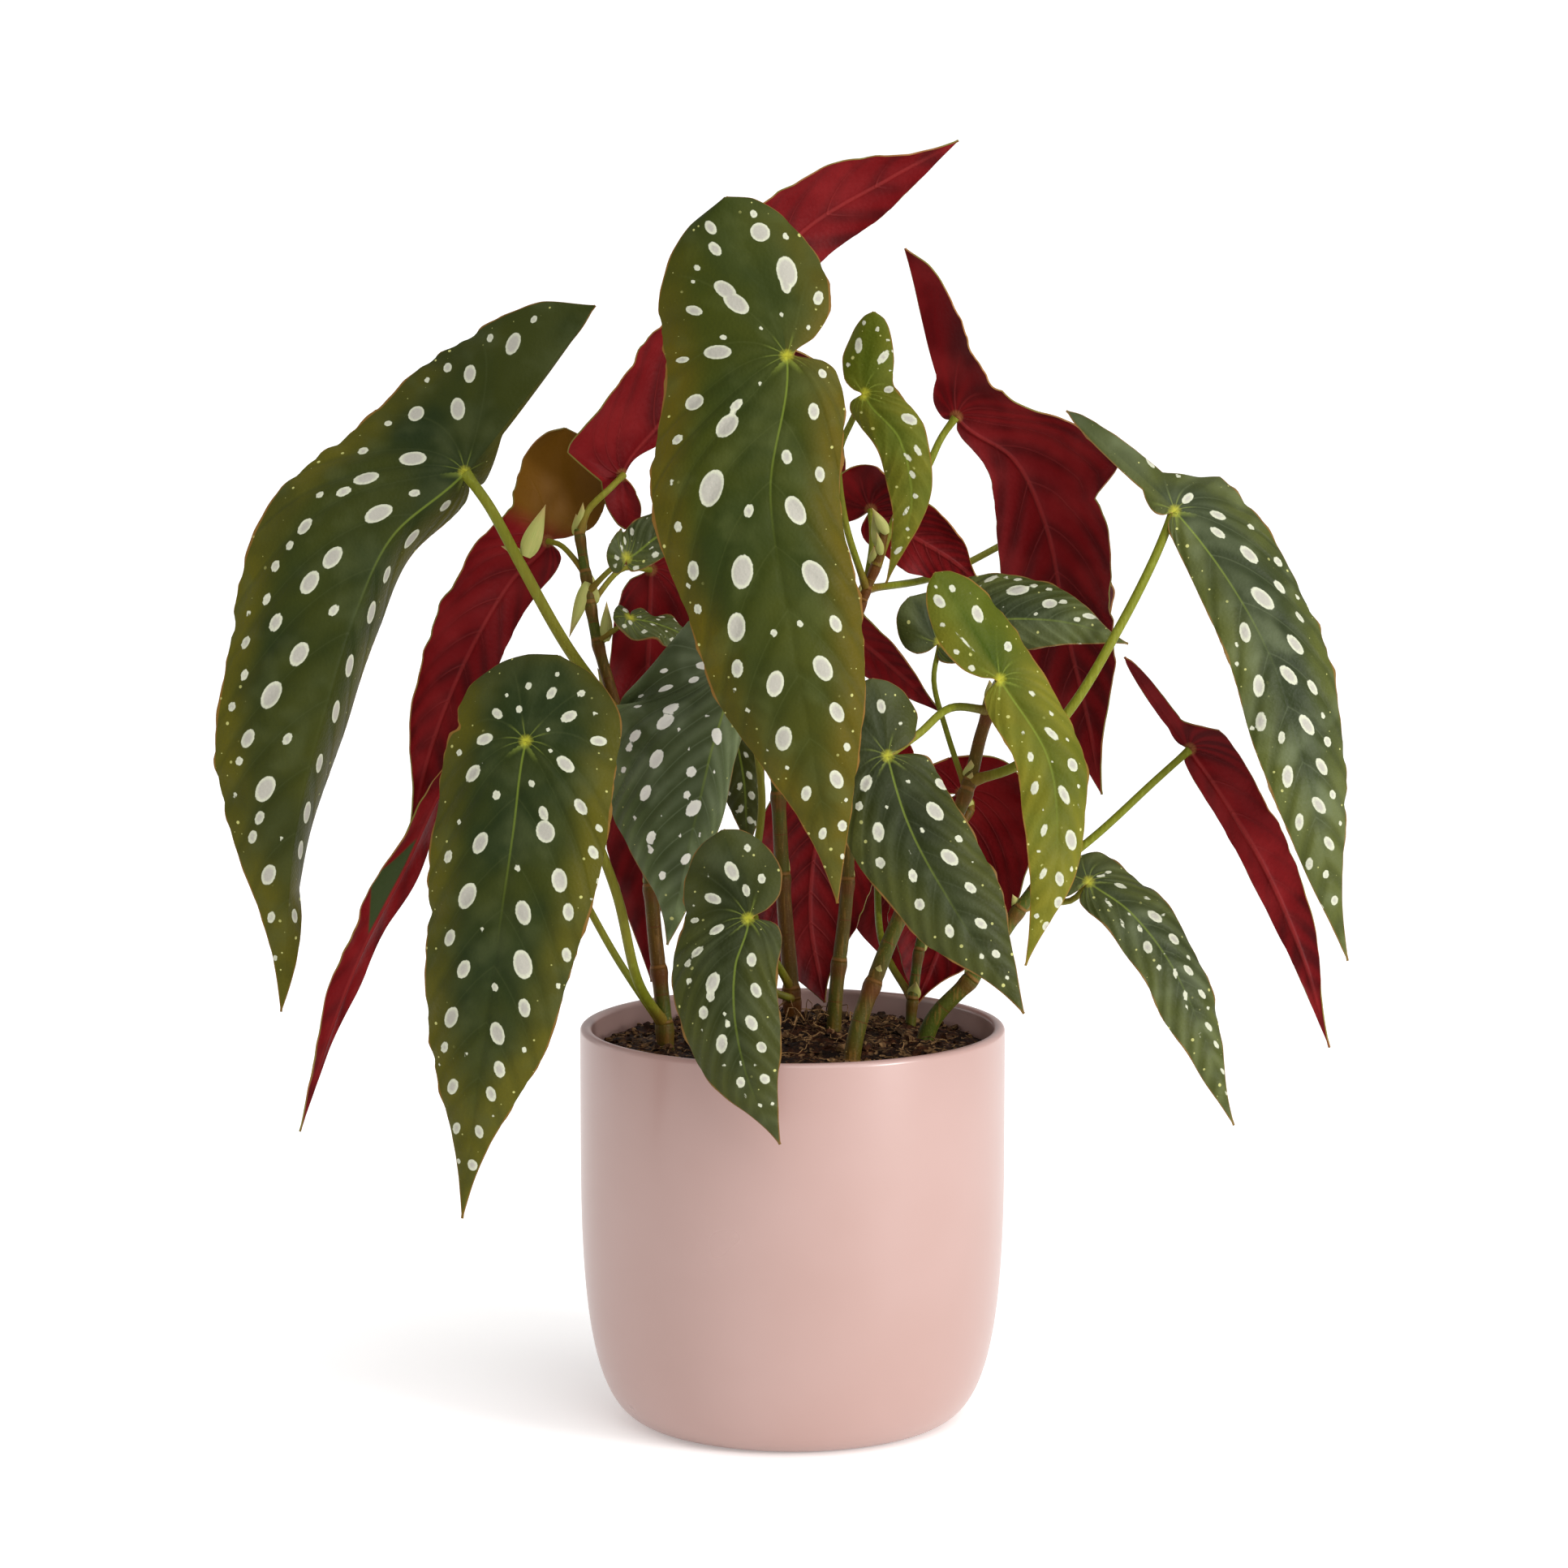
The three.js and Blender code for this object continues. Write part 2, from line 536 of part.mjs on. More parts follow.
// Each leaf: the spine in millimetres, the half widths, the way the green side faces, and the
// cane, joint and stalk points that carry it. Fold and curl are degrees, wide half first.
const leaves = [
  {
    name: "leaf_front_large",
    spine: [
      [-21, -50, 403], [-2, -60, 354], [-7, -74, 312], [0, -80, 267], [7, -78, 226],
      [14, -70, 183],
    ],
    wide: 39.5, narrow: 23.6, face: [0.05, -1, 0.12], lobe: [1, 0.9],
    fold: [6, 4], curl: [-42, -36], wave: 1.4, waves: 5,
    rows: FINE_ROWS, columns: 6,
    cane: "cane_centre", joint: 0.98, stalk: [[0, -14, 290], [2, -38, 330]],
    stalkRadius: 1.9,
  },
  {
    name: "leaf_left_large",
    spine: [
      [-64, 8, 367], [-106, -6, 314], [-129, -18, 294], [-140, -26, 271], [-150, -32, 239],
      [-160, -32, 200], [-166, -24, 140],
    ],
    wide: 47, narrow: 22, face: [-0.25, -1, 0.35], tipFace: [0, -1, 0.1],
    fold: [2, -72], curl: [-22, -20], wave: 1.4, waves: 5, lobe: [0.8, 0.5],
    neck: [0.12, 0.12], lobeTaper: 0.6, columns: 6,
    cane: "cane_left", joint: 0.7, stalk: [[-73, -2, 256], [-88, -8, 284], [-98, -9, 303]],
    stalkSide: [1, -0.4, -0.7], stalkRadius: 2,
  },
  {
    name: "leaf_left_front",
    spine: [
      [-74, -50, 259], [-84, -60, 233], [-88, -68, 204], [-93, -74, 169], [-99, -74, 127],
      [-105, -66, 81],
    ],
    wide: 33, narrow: 26, wideSide: -1, face: [-0.25, -1, 0.12], notch: 0.2,
    columns: 6, waves: 5, wave: 1.3,
    cane: "cane_left", joint: 0.21,
    stalk: [[-50, -26, 150], [-57, -36, 182], [-69, -42, 213], [-79, -48, 230]], stalkRadius: 1.7,
  },
  {
    name: "leaf_left_inner",
    spine: [[-33, -30, 268], [-21, -36, 253], [-27, -45, 224], [-34, -50, 194], [-40, -48, 166]],
    wide: 43, narrow: 13, face: [-0.2, -1, 0.1], fold: [4, -45],
    cane: "cane_centre", joint: 0.3, stalk: [[-13, -12, 172], [-10, -18, 210], [-16, -24, 246]],
    stalkSide: [-0.6, 1, 0], stalkRadius: 1.4,
  },
  {
    name: "leaf_front_small",
    spine: [
      [-22, -68, 206], [-14, -76, 179], [-18, -84, 165], [-18, -90, 149], [-13, -92, 128],
      [-4, -90, 110],
    ],
    wide: 22, narrow: 14, face: [-0.15, -1, 0.15],
    cane: "cane_centre", joint: 0.28, stalk: [[-8, -30, 150], [-12, -62, 172]],
    stalkRadius: 1.3,
  },
  {
    name: "leaf_right_front",
    spine: [[25, -44, 251], [30, -50, 227], [37, -58, 205], [51, -64, 180], [73, -66, 147]],
    wide: 21, narrow: 19, face: [0.25, -1, 0.12], lobe: [1, 0.75],
    cane: "cane_front", joint: 0.97, stalk: [[50, -32, 240], [40, -42, 233]],
    stalkRadius: 1.4,
  },
  {
    name: "leaf_right_bright",
    spine: [
      [45, -36, 284], [66, -38, 250], [81, -44, 226], [84, -48, 206], [82, -52, 183],
      [74, -52, 160],
    ],
    wide: 14.5, narrow: 11, wideSide: -1, face: [0.35, -1, 0.15], lobe: [1.1, 1],
    material: youngLeafMaterial,
    cane: "cane_front", joint: 0.99, stalk: [[65, -28, 247]],
    stalkRadius: 1.3,
  },
  {
    name: "leaf_top_bright",
    spine: [
      [26, -16, 366], [23, -22, 340], [34, -28, 326], [38, -26, 307], [35, -22, 292],
      [30, -18, 279],
    ],
    wide: 10, narrow: 9, wideSide: -1, face: [-0.2, -1, 0.1], tipFace: [0.3, -1, 0],
    rows: SMALL_ROWS, material: youngLeafMaterial,
    cane: "cane_mid", joint: 0.9, stalk: [[17, 0, 298], [15, -8, 320], [19, -14, 331]],
    stalkRadius: 1.2,
  },
  {
    name: "leaf_right_red",
    spine: [
      [37, 30, 385], [54, 26, 330], [73, 28, 316], [84, 34, 294], [92, 42, 257], [100, 44, 224],
      [104, 42, 202],
    ],
    wide: 32, narrow: 19, face: [0.3, 1, 0.2], lobe: [0.4, 0.03], neck: [0.25, 0.25], notch: 0.6,
    taper: 1.25, lobeTaper: 0.45, columns: 6,
    cane: "cane_mid", joint: 0.94, stalk: [[35, 14, 300], [44, 20, 313], [49, 25, 323]],
    stalkRadius: 1.4,
  },
  {
    name: "leaf_right_large",
    spine: [
      [89, 6, 333], [124, -2, 301], [143, -10, 276], [156, -16, 251], [164, -20, 224],
      [170, -20, 200], [181, -14, 155],
    ],
    wide: 26, narrow: 14.5, wideSide: -1, face: [0.3, -1, 0.45],
    columns: 6, lobe: [0.62, 0.5], neck: [0.04, 0.35], lobeTaper: 0.65,
    cane: "cane_front", joint: 0.82,
    stalk: [[74, -20, 221], [90, -20, 239], [106, -14, 265], [117, -5, 285]], stalkRadius: 1.7,
  },
  {
    name: "leaf_right_twisted",
    spine: [
      [109, 10, 252], [131, 14, 221], [141, 14, 207], [157, 12, 180], [169, 10, 152],
      [178, 8, 122],
    ],
    wide: 12, narrow: 6, face: [0.2, 1, 0.1], fold: [22, 22], lobe: [0.45, 0.5],
    cane: "cane_right", joint: 0.98, stalk: [[100, 4, 194], [119, 8, 211]],
    stalkRadius: 1.4,
  },
  {
    name: "leaf_right_low",
    spine: [
      [92, 16, 183], [98, 12, 177], [111, 8, 168], [124, 4, 152], [135, 2, 129], [146, 2, 97],
    ],
    wide: 14, narrow: 11, wideSide: -1, face: [0.3, -1, 0.6],
    cane: "cane_right", joint: 0.85, stalk: [[85, 12, 170], [93, 18, 170]],
    stalkRadius: 1.2,
  },
  {
    name: "leaf_left_red",
    spine: [
      [-75, 30, 326], [-81, 24, 289], [-93, 20, 276], [-106, 14, 254], [-118, 8, 225],
      [-126, 4, 194],
    ],
    wide: 20, narrow: 10.5, wideSide: -1, face: [-0.35, 1, 0.15], lobe: [0.95, 1.6],
    cane: "cane_left", joint: 0.93, stalk: [[-76, 18, 288]],
    stalkRadius: 1,
  },
  {
    name: "leaf_top_red",
    spine: [
      [-55, 22, 293], [-56, 22, 311], [-42, 25, 330], [-24, 32, 354], [2, 42, 389], [31, 46, 407],
      [55, 46, 420],
    ],
    wide: 24, narrow: 14, face: [-0.25, 1, 0.3], lobe: [0.35, 0.6],
    neck: [0, 0.3], taper: 1.8, columns: 6,
    cane: "cane_left", joint: 0.99, stalk: [[-67, 12, 300], [-60, 13, 307]],
    stalkRadius: 1.2,
  },
  {
    name: "leaf_inner_left",
    spine: [[-59, -6, 291], [-54, -4, 286], [-43, 0, 293], [-28, 4, 297], [-12, 8, 291]],
    wide: 9, narrow: 7, wideSide: -1, face: [0, -1, 0.2], rows: SMALL_ROWS,
    cane: "cane_left", joint: 0.9, stalk: [[-60, 2, 281]],
    stalkRadius: 1,
  },
  {
    name: "leaf_behind_left",
    spine: [
      [-47, 30, 290], [-47, 30, 279], [-48, 30, 250], [-50, 28, 210], [-49, 24, 175],
      [-47, 20, 142],
    ],
    wide: 18, narrow: 14, taper: 1.2, face: [0, 1, 0.1], rows: SMALL_ROWS,
    cane: "cane_left", joint: 0.88, stalk: [[-56, 22, 280]],
    stalkRadius: 1,
  },
  {
    name: "leaf_inner_right",
    spine: [[15, 30, 310], [26, 28, 299], [39, 24, 291], [52, 26, 283], [63, 30, 274]],
    wide: 15, narrow: 11, face: [0, 1, 0.3], rows: SMALL_ROWS,
    cane: "cane_mid", joint: 0.88, stalk: [[26, 18, 288]],
    stalkRadius: 1,
  },
  {
    name: "leaf_right_grey",
    spine: [
      [38, 6, 272], [48, 0, 258], [63, -4, 265], [80, -6, 266], [94, -8, 264], [109, -6, 258],
    ],
    wide: 21, narrow: 10, wideSide: -1, face: [0, -1, 0.6],
    cane: "cane_front", joint: 0.8, stalk: [[50, -10, 230], [46, -4, 246]],
    stalkRadius: 1,
  },
  {
    name: "leaf_inner_red",
    spine: [[-1, 4, 277], [6, 4, 272], [24, 0, 257], [36, -2, 247], [49, -4, 235]],
    wide: 9, narrow: 8, face: [0, 1, 0.3], rows: SMALL_ROWS,
    cane: "cane_centre", joint: 0.95, stalk: [[1, -2, 265]],
    stalkRadius: 1,
  },
  {
    name: "leaf_low_right",
    spine: [[53, 46, 214], [57, 46, 202], [58, 48, 182], [52, 46, 156], [42, 42, 130]],
    wide: 24, narrow: 21, taper: 1.3, face: [0.2, 1, 0.2],
    cane: "cane_back", joint: 0.99, stalk: [[60, 40, 200]],
    stalkRadius: 1.1,
  },
  {
    name: "leaf_low_centre",
    spine: [[24, 44, 231], [18, 44, 218], [9, 48, 190], [6, 46, 160], [11, 42, 131]],
    wide: 25, narrow: 22, taper: 1.4, face: [-0.1, 1, 0.2],
    cane: "cane_mid", joint: 0.6, stalk: [[20, 24, 212]],
    stalkRadius: 1,
  },
  {
    name: "leaf_inner_dark",
    spine: [[-25, 6, 242], [-21, 6, 234], [-16, 0, 213], [-15, 0, 188]],
    wide: 10, narrow: 7, face: [0, -1, 0.1], rows: SMALL_ROWS,
    cane: "cane_centre", joint: 0.8, stalk: [[-14, 12, 236]],
    stalkRadius: 1,
  },
  {
    name: "leaf_left_folded",
    spine: [
      [-94, 8, 238], [-102, 6, 227], [-115, 2, 209], [-127, -2, 184], [-141, -6, 157],
      [-152, -8, 129], [-162, -8, 97],
    ],
    wide: 9, narrow: 8, face: [-0.7, 0.7, 0.3], fold: [25, 25],
    cane: "cane_left", joint: 0.2, stalk: [[-58, -18, 158], [-82, -6, 200], [-96, 3, 220]],
    stalkRadius: 1.3,
  },
  {
    name: "leaf_left_grey",
    spine: [[-58, 0, 268], [-53, 0, 266], [-45, 2, 264], [-35, 6, 259], [-23, 10, 247]],
    wide: 8, narrow: 8, face: [0, -0.6, 1], rows: SMALL_ROWS,
    cane: "cane_left", joint: 0.82, stalk: [],
    stalkRadius: 0.9,
  },
  {
    name: "leaf_back_large",
    spine: [
      [-13, 50, 354], [-11, 60, 332], [-9, 76, 297], [-10, 92, 257], [-13, 98, 222],
      [-14, 96, 200],
    ],
    wide: 28, narrow: 18, face: [0, 1, 0.2],
    cane: "cane_centre", joint: 0.97, stalk: [[-8, 20, 300], [-8, 46, 330]],
    stalkRadius: 1.6,
  },
  {
    name: "leaf_back_left",
    spine: [[-67, 40, 235], [-71, 46, 223], [-82, 58, 205], [-90, 66, 182], [-93, 66, 156]],
    wide: 24, narrow: 17, wideSide: -1, face: [-0.8, 0.8, 0.3],
    cane: "cane_left", joint: 0.5, stalk: [[-68, 10, 212], [-72, 34, 222]],
    stalkRadius: 1.3,
  },
  {
    name: "leaf_back_right",
    spine: [[86, 62, 304], [91, 70, 290], [97, 84, 261], [102, 92, 232], [104, 92, 206]],
    wide: 24, narrow: 17, face: [0.8, 0.8, 0.3],
    cane: "cane_mid", joint: 0.9, stalk: [[50, 44, 276], [84, 66, 290]],
    stalkRadius: 1.3,
  },
  {
    name: "leaf_back_low",
    spine: [[30, 58, 212], [31, 64, 200], [34, 76, 172], [38, 86, 145], [44, 92, 120]],
    wide: 22, narrow: 18, wideSide: -1, face: [0.3, 1, 0.5],
    cane: "cane_back", joint: 0.4, stalk: [[31, 36, 150], [29, 54, 166]],
    stalkRadius: 1.3,
  },
];

// ---------------------------------------------------------------- the plant

function mesh(name, geometry, material) {
  const one = new THREE.Mesh(geometry, material);
  one.name = name;
  return one;
}

const plant = new THREE.Group();
plant.add(mesh("pot", buildPot(), potMaterial));
plant.add(mesh("soil", buildSoil(canes.map(caneHole)), soilMaterial));

const blades = new Map(leaves.map((leaf) => [leaf.name, new Blade(leaf)]));
for (const cane of canes) {
  plant.add(mesh(cane.name, geometryOf(buildCane(cane, blades)), caneMaterial));
}
for (const [name, blade] of blades) {
  plant.add(mesh(name, geometryOf(solid(blade.geometry(BLADE_THICKNESS))), blade.material));
}

export default plant;
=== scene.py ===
"""Potted polka dot begonia: leaves, canes, soil and glazed pot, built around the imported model."""

import math
import random

import bmesh
import bpy
import numpy as np
from bpy.props import FloatProperty, FloatVectorProperty, IntProperty, PointerProperty
from mathutils import Matrix, Quaternion, Vector, noise


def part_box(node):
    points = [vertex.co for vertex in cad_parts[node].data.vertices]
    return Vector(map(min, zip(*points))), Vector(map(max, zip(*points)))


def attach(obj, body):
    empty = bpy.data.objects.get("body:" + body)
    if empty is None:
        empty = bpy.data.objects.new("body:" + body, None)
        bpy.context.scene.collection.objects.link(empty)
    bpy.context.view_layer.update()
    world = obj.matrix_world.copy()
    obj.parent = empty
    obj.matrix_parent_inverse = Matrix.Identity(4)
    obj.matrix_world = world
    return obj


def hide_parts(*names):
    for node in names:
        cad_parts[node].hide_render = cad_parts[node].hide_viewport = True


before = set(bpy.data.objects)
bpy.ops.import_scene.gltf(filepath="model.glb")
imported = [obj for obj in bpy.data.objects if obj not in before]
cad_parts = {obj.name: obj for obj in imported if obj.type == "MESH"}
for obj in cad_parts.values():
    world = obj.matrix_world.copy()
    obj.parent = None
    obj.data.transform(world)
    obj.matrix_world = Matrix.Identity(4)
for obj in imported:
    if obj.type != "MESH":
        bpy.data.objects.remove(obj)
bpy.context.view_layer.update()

bl_info = {
    "name": "Potted polka dot begonia",
    "version": (1, 0, 0),
    "blender": (4, 5, 0),
    "location": "3D View > Sidebar > Begonia",
    "description": "Builds the leaves, canes, soil and pot of a potted polka dot begonia",
    "category": "Object",
}

MM = 0.001  # the tables are in millimetres, the scene in metres
BODY = "root"


def tone(code):
    """Linear red, green and blue of a screen colour such as '#4a5428'."""
    parts = [int(code[i:i + 2], 16) / 255 for i in (1, 3, 5)]
    return tuple(p / 12.92 if p <= 0.04045 else ((p + 0.055) / 1.055) ** 2.4 for p in parts)


def within(value, low=0, high=1):
    """The value, or the limit that it lies past."""
    return min(max(value, low), high)


def bell(x, reach):
    """1 at x = 0, and next to nothing beyond two reaches to either side."""
    return math.exp(-((x / reach) ** 2))


def sine(turns):
    """Sine of an angle that is given in turns."""
    return math.sin(2 * math.pi * turns)


def colour(name, description, code):
    """A setting that is a colour."""
    return FloatVectorProperty(
        name=name, description=description, default=tone(code), subtype="COLOR", min=0, max=1, size=3
    )


def metres(name, description, default):
    """A setting that is a length."""
    return FloatProperty(name=name, description=description, default=default, unit="LENGTH", min=0)


# ---- settings

class PotSettings(bpy.types.PropertyGroup):
    height: metres("Height", "Height of the rim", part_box("pot")[1].z)
    radius: metres("Radius", "Outer radius of the straight wall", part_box("pot")[1].x)
    wall: metres("Wall", "Thickness of the wall", 0.0038)
    glaze: colour("Glaze", "Colour of the glaze", "#aa8b84")
    glaze_deep: colour("Deep glaze", "Colour where the glaze lies thicker", "#a6867e")


class SoilSettings(bpy.types.PropertyGroup):
    level: metres("Level", "Height of the soil at the pot's wall", 0.1235)
    mound: metres("Mound", "How far the middle stands above the edge", 0.004)
    crumbs: IntProperty(name="Crumbs", description="Loose bits on the soil", default=700, min=0)
    roots: IntProperty(name="Roots", description="Fine root threads on the soil", default=160, min=0)
    # The dark colour is partly painted shade, for the shadow of the leaves over the soil.
    dark: colour("Dark", "Colour of damp soil", "#180a02")
    light: colour("Light", "Colour of dry bark and fibre", "#94724a")


class StemSettings(bpy.types.PropertyGroup):
    cane: colour("Cane", "Colour of an old cane", "#573a0f")
    cane_green: colour("Green cane", "Colour of a young cane", "#424b12")
    stalk: colour("Leaf stalk", "Colour of a leaf stalk", "#666a13")
    scale: colour("Scale", "Colour of the papery scales", "#a59f55")


class LeafSettings(bpy.types.PropertyGroup):
    thickness: metres("Thickness", "Thickness of a blade", 0.0006)
    step: metres("Mesh step", "Size of a blade's faces", 0.00125)
    spot: colour("Spot", "Colour of the middle of a spot", "#a29e93")
    spot_rim: colour("Spot rim", "Colour of the edge of a spot", "#b9baa3")
    node: colour("Node", "Colour of the blade where its stalk joins", "#a3a02e")
    margin: colour("Margin", "Colour of the thin line along the margin", "#865a2c")
    underside: colour("Underside", "Colour of the underside", "#63060a")
    underside_vein: colour("Underside vein", "Colour of the veins below", "#8c2c2a")


class StageSettings(bpy.types.PropertyGroup):
    floor: colour("Floor", "Colour of the floor", "#fcfbfa")
    floor_glow: FloatProperty(name="Floor glow", description="Light from the floor", default=0.25)
    sun: FloatProperty(name="Key light", description="Strength of the soft key light", default=1.9)
    sky: FloatProperty(name="Fill light", description="Strength of the even fill light", default=0.55)


class BegoniaSettings(bpy.types.PropertyGroup):
    pot: PointerProperty(type=PotSettings)
    soil: PointerProperty(type=SoilSettings)
    stems: PointerProperty(type=StemSettings)
    leaves: PointerProperty(type=LeafSettings)
    stage: PointerProperty(type=StageSettings)


# ---- shader maths

def arithmetic(operation, reflected=False):
    """A method of Value that adds a Math node for the value and another one."""
    def method(value, other):
        return value.math(operation, *((other, value) if reflected else (value, other)))

    return method


class Value:
    """One output of a shader node. Arithmetic on it adds Math nodes."""

    def __init__(self, graph, socket):
        self.graph = graph
        self.socket = socket

    def math(self, operation, *values):
        return self.graph.node("ShaderNodeMath", {"operation": operation}, dict(enumerate(values)))

    __add__ = arithmetic("ADD")
    __radd__ = arithmetic("ADD", reflected=True)
    __sub__ = arithmetic("SUBTRACT")
    __rsub__ = arithmetic("SUBTRACT", reflected=True)
    __mul__ = arithmetic("MULTIPLY")
    __rmul__ = arithmetic("MULTIPLY", reflected=True)
    __pow__ = arithmetic("POWER")
    least = arithmetic("MINIMUM")

    def size(self):
        """The value without its sign."""
        return self.math("ABSOLUTE", self)

    def part(self):
        """What is left of the value above a whole number."""
        return self.math("FRACT", self)

    def rise(self, low, high):
        """0 below low, 1 above high, with a smooth step between."""
        settings = {"interpolation_type": "SMOOTHSTEP"}
        return self.graph.node("ShaderNodeMapRange", settings, {"Value": self, 1: low, 2: high})

    def fall(self, low, high):
        """1 below low, 0 above high, with a smooth step between."""
        return 1 - self.rise(low, high)

    def output(self, name):
        return Value(self.graph, self.socket.node.outputs[name])

    def split(self):
        """The three parts of a vector."""
        apart = self.graph.node("ShaderNodeSeparateXYZ", {}, {0: self})
        return apart, apart.output("Y"), apart.output("Z")


class Graph:
    """The node tree of one material."""

    def __init__(self, name):
        self.material = bpy.data.materials.new(name)
        self.material.use_nodes = True
        self.tree = self.material.node_tree
        self.tree.nodes.clear()

    def node(self, kind, settings, inputs, output=0):
        """Adds a node, with its settings first, and returns one of its outputs."""
        node = self.tree.nodes.new(kind)
        for name, setting in settings.items():
            setattr(node, name, setting)
        for key, given in inputs.items():
            if isinstance(given, Value):
                self.tree.links.new(given.socket, node.inputs[key])
            else:
                node.inputs[key].default_value = given
        return Value(self, node.outputs[output]) if node.outputs else None

    def mix(self, factor, first, second):
        """Mixes two colours: the first where the factor is 0, the second where it is 1."""
        inputs = {0: factor, 6: self.paint(first), 7: self.paint(second)}
        return self.node("ShaderNodeMix", {"data_type": "RGBA"}, inputs, output=2)

    @staticmethod
    def paint(given):
        """A colour for a socket, from a value, a code such as '#4a5428' or a colour setting."""
        if isinstance(given, Value):
            return given
        return (*(tone(given) if isinstance(given, str) else given), 1)

    def attribute(self, name):
        """The three numbers that a vertex attribute holds."""
        settings = {"attribute_name": name}
        return self.node("ShaderNodeAttribute", settings, {}, output="Vector").split()

    def place(self):
        """The shaded point's place on its piece, in metres."""
        return self.node("ShaderNodeTexCoord", {}, {}, output="Object")

    def stretched(self, vector, scale):
        """A vector with each of its parts scaled on its own."""
        return self.node("ShaderNodeMapping", {}, {"Vector": vector, "Scale": scale})

    def vector(self, x, y):
        return self.node("ShaderNodeCombineXYZ", {}, {0: x, 1: y})

    def cloud(self, vector, scale, detail, roughness=0.5):
        """Smooth noise of about 0.5, with lumps of 1 / scale."""
        inputs = {"Vector": vector, "Scale": scale, "Detail": detail, "Roughness": roughness}
        return self.node("ShaderNodeTexNoise", {}, inputs)

    def cells(self, vector, scale, dimensions="3D"):
        """Distance to the middle of the nearest cell, with cells of 1 / scale."""
        settings = {"voronoi_dimensions": dimensions}
        return self.node("ShaderNodeTexVoronoi", settings, {"Vector": vector, "Scale": scale})

    def bump(self, height, distance, strength):
        inputs = {"Height": height, "Distance": distance, "Strength": strength}
        return self.node("ShaderNodeBump", {}, inputs)

    def finish(self, base, roughness, normal=None, specular=0.5, glow=0.0):
        """Ends the tree in a Principled shader and returns the material."""
        inputs = {
            "Base Color": base, "Roughness": roughness, "Specular IOR Level": specular,
            "Emission Strength": glow,
        }
        if normal is not None:
            inputs["Normal"] = normal
        shader = self.node("ShaderNodeBsdfPrincipled", {}, inputs)
        self.node("ShaderNodeOutputMaterial", {}, {"Surface": shader})
        return self.material


# ---- pieces

def add_object(name, bm, materials):
    """Makes the finished mesh an object of the scene."""
    mesh = bpy.data.meshes.new(name)
    bm.to_mesh(mesh)
    bm.free()
    for material in materials:
        mesh.materials.append(material)
    made = bpy.data.objects.new(name, mesh)
    bpy.context.scene.collection.objects.link(made)
    return made


def add_piece(name, bm, materials, node):
    """Makes the finished mesh a piece that rides on the plant's body and replaces a node."""
    piece = add_object(name, bm, materials)
    piece.data.shade_smooth()
    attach(piece, BODY)
    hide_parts(node)
    return piece


def sharpen(bm, degrees):
    """Marks the edges whose faces meet at more than an angle as sharp."""
    for edge in bm.edges:
        closed = len(edge.link_faces) == 2
        edge.smooth = closed and edge.calc_face_angle(math.pi) < math.radians(degrees)


def spin_profile(bm, profile, steps):
    """Turns a profile of (radius, height) about the vertical axis into a closed skin."""
    verts = [bm.verts.new((radius, 0, height)) for radius, height in profile]
    edges = [bm.edges.new(pair) for pair in zip(verts, verts[1:])]
    bmesh.ops.spin(
        bm, geom=verts + edges, cent=(0, 0, 0), axis=(0, 0, 1), angle=2 * math.pi,
        steps=steps, use_merge=True,
    )
    bmesh.ops.remove_doubles(bm, verts=bm.verts, dist=1e-6)
    bmesh.ops.dissolve_degenerate(bm, edges=bm.edges, dist=1e-7)
    bmesh.ops.recalc_face_normals(bm, faces=bm.faces)


def bezier(points, t):
    """Point at t of the cubic curve with these four control points of (radius, height)."""
    weights = ((1 - t) ** 3, 3 * t * (1 - t) ** 2, 3 * t * t * (1 - t), t ** 3)
    return tuple(sum(w * p[k] for w, p in zip(weights, points)) for k in (0, 1))


# ---- curves

class Route:
    """A smooth centripetal curve through points, read by its length."""

    SAMPLES = 40  # between two points

    def __init__(self, points):
        self.points = [Vector(p) for p in points]
        self.count = self.SAMPLES * (len(points) - 1)
        samples = [self.at_parameter(i / self.count) for i in range(self.count + 1)]
        self.lengths = [0.0]
        for before, after in zip(samples, samples[1:]):
            self.lengths.append(self.lengths[-1] + (after - before).length)
        self.total = self.lengths[-1]

    def at_parameter(self, t):
        last = len(self.points) - 1
        i = min(int(t * last), last - 1)
        weight = t * last - i
        p1, p2 = self.points[i], self.points[i + 1]
        p0 = self.points[i - 1] if i > 0 else 2 * p1 - p2
        p3 = self.points[i + 2] if i + 2 <= last else 2 * p2 - p1
        d0, d1, d2 = (math.sqrt((b - a).length) for a, b in ((p0, p1), (p1, p2), (p2, p3)))
        start = ((p1 - p0) / d0 - (p2 - p0) / (d0 + d1) + (p2 - p1) / d1) * d1
        end = ((p2 - p1) / d1 - (p3 - p1) / (d1 + d2) + (p3 - p2) / d2) * d1
        square = weight * weight
        cube = square * weight
        return (
            p1 * (2 * cube - 3 * square + 1)
            + start * (cube - 2 * square + weight)
            + p2 * (3 * square - 2 * cube)
            + end * (cube - square)
        )

    def at(self, part):
        """Point at a part of the curve's length, from 0 to 1."""
        target = within(part) * self.total
        t = np.interp(target, self.lengths, np.arange(self.count + 1)) / self.count
        return self.at_parameter(float(t))

    def heading(self, part, reach=1e-3):
        """The way the curve runs at a part of its length, over a reach to either side."""
        return (self.at(part + reach) - self.at(part - reach)).normalized()


